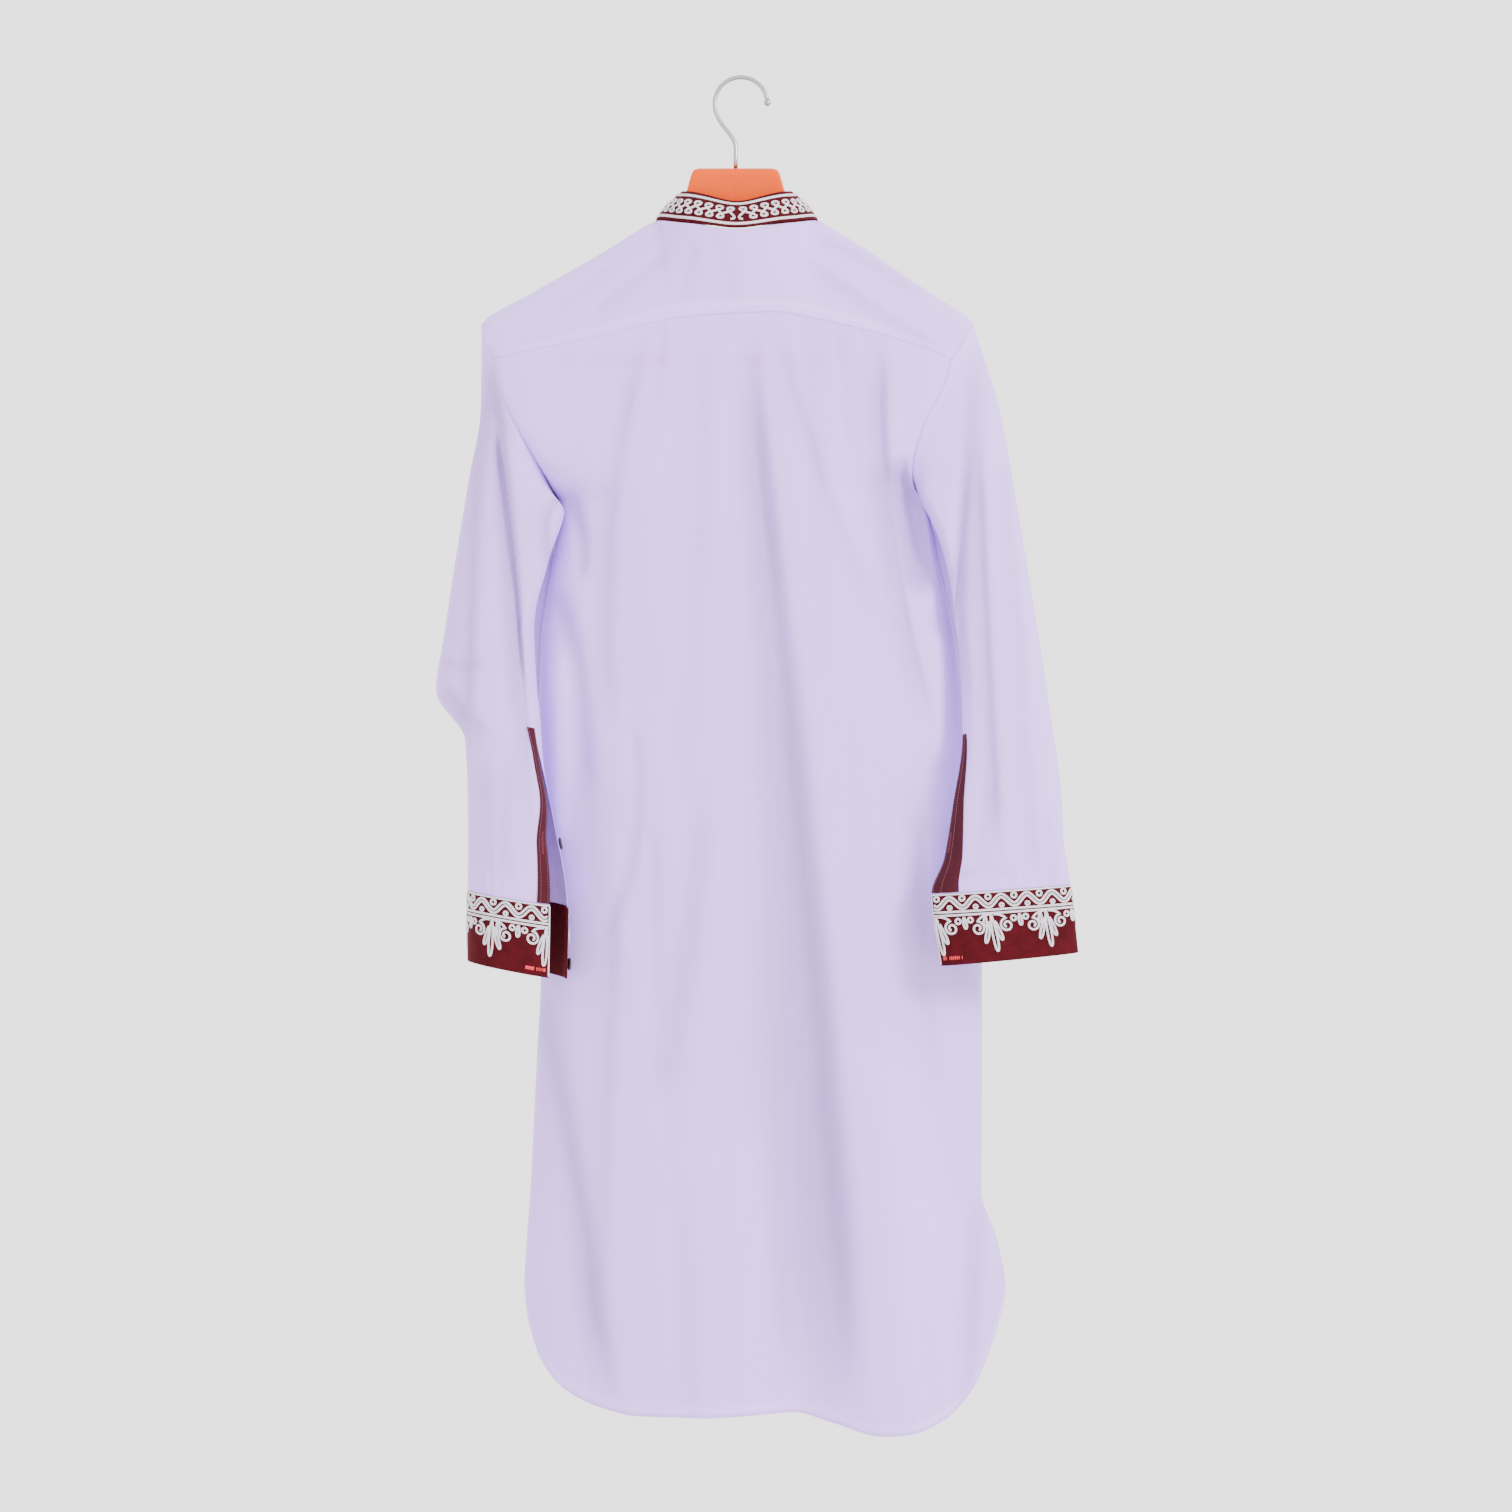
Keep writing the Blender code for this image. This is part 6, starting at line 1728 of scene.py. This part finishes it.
def make_stage(colours):
    """Camera level with the garment's middle, soft lights in front, and a round pale floor."""
    data = bpy.data.cameras.new("camera")
    data.sensor_width = 36.0
    data.lens = 36.0 * 3.0 / 1.3306
    camera = bpy.data.objects.new("camera", data)
    camera.location = (0.0132, -3.0, -0.5954)
    camera.rotation_euler = (math.pi / 2, 0.0, 0.0)
    bpy.context.scene.collection.objects.link(camera)
    bpy.context.scene.camera = camera
    lamps = (
        ("key", (2.3, -1.9, 0.7), 1.0, 120.0),
        ("fill", (-1.6, -2.9, -0.3), 1.6, 14.0),
    )
    for name, spot, size, power in lamps:
        light = bpy.data.lights.new(name, "AREA")
        light.shape = "DISK"
        light.size = size
        light.energy = power
        light.color = LIGHT_COLOUR
        lamp = bpy.data.objects.new(name, light)
        lamp.location = spot
        aim = Vector((0.0, 0.0, -0.6)) - Vector(spot)
        lamp.rotation_euler = aim.to_track_quat("-Z", "Y").to_euler()
        bpy.context.scene.collection.objects.link(lamp)
    world = bpy.data.worlds.new("studio")
    world.use_nodes = True
    background = world.node_tree.nodes["Background"]
    background.inputs["Color"].default_value = linear(colours.paper)
    background.inputs["Strength"].default_value = 3.1
    bpy.context.scene.world = world
    turn = np.linspace(0, 2 * math.pi, 96, endpoint=False)
    radii = np.array([0.0001, 200.0, 450.0, 700.0, 840.0])
    rows = np.stack([
        radii[:, None] * np.cos(turn), radii[:, None] * np.sin(turn), np.full((5, 96), -1450.0),
    ], -1)
    index = np.arange(rows.shape[0] * 96).reshape(-1, 96)
    mesh = mesh_from("floor", rows.reshape(-1, 3), quads(np.concatenate([index, index[:, :1]], axis=1)))
    mesh.materials.append(studio_paper(colours.paper))
    floor = bpy.data.objects.new("floor", mesh)
    bpy.context.scene.collection.objects.link(floor)


# Add-on

def length(name, description, default, low, high):
    """Length property in metres."""
    return bpy.props.FloatProperty(
        name=name, description=description, default=default, min=low, max=high, precision=4,
        subtype="DISTANCE", unit="LENGTH",
    )


def colour(name, description, default):
    """Colour property, an sRGB hex code."""
    return bpy.props.StringProperty(name=name, description=description, default=default, maxlen=7)


class KurtaSizes(bpy.types.PropertyGroup):
    """Sizes that a maker would change."""
    cloth_wall: length("Cotton", "Thickness of the cotton", 0.0006, 0.0002, 0.0015)
    velvet_wall: length("Velvet", "Thickness of lined velvet", 0.0018, 0.001, 0.003)
    hem_width: length("Hem", "Width of the turned hem", 0.012, 0.005, 0.03)
    stitch_pitch: length("Stitch", "Distance from stitch to stitch", 0.003, 0.002, 0.006)
    braid_width: length("Braid", "Width of the soutache braid", 0.0024, 0.0015, 0.005)


class KurtaColours(bpy.types.PropertyGroup):
    """Colours of the cloths and the hanger, as sRGB hex codes."""
    cloth: colour("Cotton", "White cotton with a lavender cast", "#C6A0F6")
    velvet: colour("Velvet", "Dark red of the velvet", "#3E040D")
    binding: colour("Binding", "Dark red of the slit's binding", "#380A16")
    braid: colour("Braid", "Silver white of the braid", "#CFC8D0")
    satin: colour("Satin thread", "Bright red of the buttonholes", "#C80A18")
    stitch: colour("Red stitches", "Thread of the binding", "#8A3A4C")
    plastic: colour("Plastic", "Orange of the hanger", "#D04800")
    wire: colour("Wire", "Plated wire of the hook", "#A39B9E")
    metal: colour("Buttons", "Dark metal of the buttons", "#4A4648")
    paper: colour("Paper", "Pale grey of floor and background", "#ECECEC")


class PieceOperator:
    """What all piece operators share."""
    bl_options = {"REGISTER"}

    def execute(self, context):
        self.make(context.scene.kurta_sizes, context.scene.kurta_colours)
        return {"FINISHED"}


class KURTA_OT_body(PieceOperator, bpy.types.Operator):
    """Back panel, yoke, front panel and placket"""
    bl_idname = "kurta.body"
    bl_label = "Body"

    def make(self, sizes, colours):
        make_back(sizes, colours)
        make_yoke(sizes, colours)
        make_front(sizes, colours)
        make_placket(sizes, colours)


class KURTA_OT_sleeves(PieceOperator, bpy.types.Operator):
    """Both sleeves and the bindings of their slits"""
    bl_idname = "kurta.sleeves"
    bl_label = "Sleeves"

    def make(self, sizes, colours):
        for side in (-1, 1):
            make_sleeve(side, sizes, colours)
            make_band(side, sizes, colours)


class KURTA_OT_collar(PieceOperator, bpy.types.Operator):
    """Velvet collar with braid"""
    bl_idname = "kurta.collar"
    bl_label = "Collar"

    def make(self, sizes, colours):
        make_collar(sizes, colours)


class KURTA_OT_cuffs(PieceOperator, bpy.types.Operator):
    """Velvet cuffs with braid and buttonholes"""
    bl_idname = "kurta.cuffs"
    bl_label = "Cuffs"

    def make(self, sizes, colours):
        charts = [make_cuff(side, sizes, colours) for side in (-1, 1)]
        make_satin(charts, sizes, colours)


class KURTA_OT_seams(PieceOperator, bpy.types.Operator):
    """Stitches and seam ridges"""
    bl_idname = "kurta.seams"
    bl_label = "Seams"

    def make(self, sizes, colours):
        make_seams(sizes, colours)


class KURTA_OT_buttons(PieceOperator, bpy.types.Operator):
    """Metal buttons and their thread"""
    bl_idname = "kurta.buttons"
    bl_label = "Buttons"

    def make(self, sizes, colours):
        make_buttons(sizes, colours)


class KURTA_OT_hanger(PieceOperator, bpy.types.Operator):
    """Hanger, its bar and its hook"""
    bl_idname = "kurta.hanger"
    bl_label = "Hanger"

    def make(self, sizes, colours):
        make_hanger(sizes, colours)
        make_hook(sizes, colours)


class KURTA_OT_stage(PieceOperator, bpy.types.Operator):
    """Camera, lights and floor"""
    bl_idname = "kurta.stage"
    bl_label = "Stage"

    def make(self, sizes, colours):
        make_stage(colours)


PIECES = (
    KURTA_OT_stage, KURTA_OT_hanger, KURTA_OT_body, KURTA_OT_sleeves, KURTA_OT_collar, KURTA_OT_cuffs,
    KURTA_OT_seams, KURTA_OT_buttons,
)


class KURTA_PT_panel(bpy.types.Panel):
    """Lists the pieces, sizes and colours"""
    bl_idname = "KURTA_PT_panel"
    bl_label = "Kurta on a hanger"
    bl_space_type = "VIEW_3D"
    bl_region_type = "UI"
    bl_category = "Kurta"

    def draw(self, context):
        for group in (context.scene.kurta_sizes, context.scene.kurta_colours):
            for key in group.__annotations__:
                self.layout.prop(group, key)
        for piece in PIECES:
            self.layout.operator(piece.bl_idname)


CLASSES = (KurtaSizes, KurtaColours, *PIECES, KURTA_PT_panel)


def register():
    for item in CLASSES:
        bpy.utils.register_class(item)
    bpy.types.Scene.kurta_sizes = bpy.props.PointerProperty(type=KurtaSizes)
    bpy.types.Scene.kurta_colours = bpy.props.PointerProperty(type=KurtaColours)


def unregister():
    del bpy.types.Scene.kurta_colours
    del bpy.types.Scene.kurta_sizes
    for item in reversed(CLASSES):
        bpy.utils.unregister_class(item)


def main():
    register()
    for piece in PIECES:
        getattr(bpy.ops.kurta, piece.bl_idname.split(".")[1])()


if __name__ == "__main__":
    main()
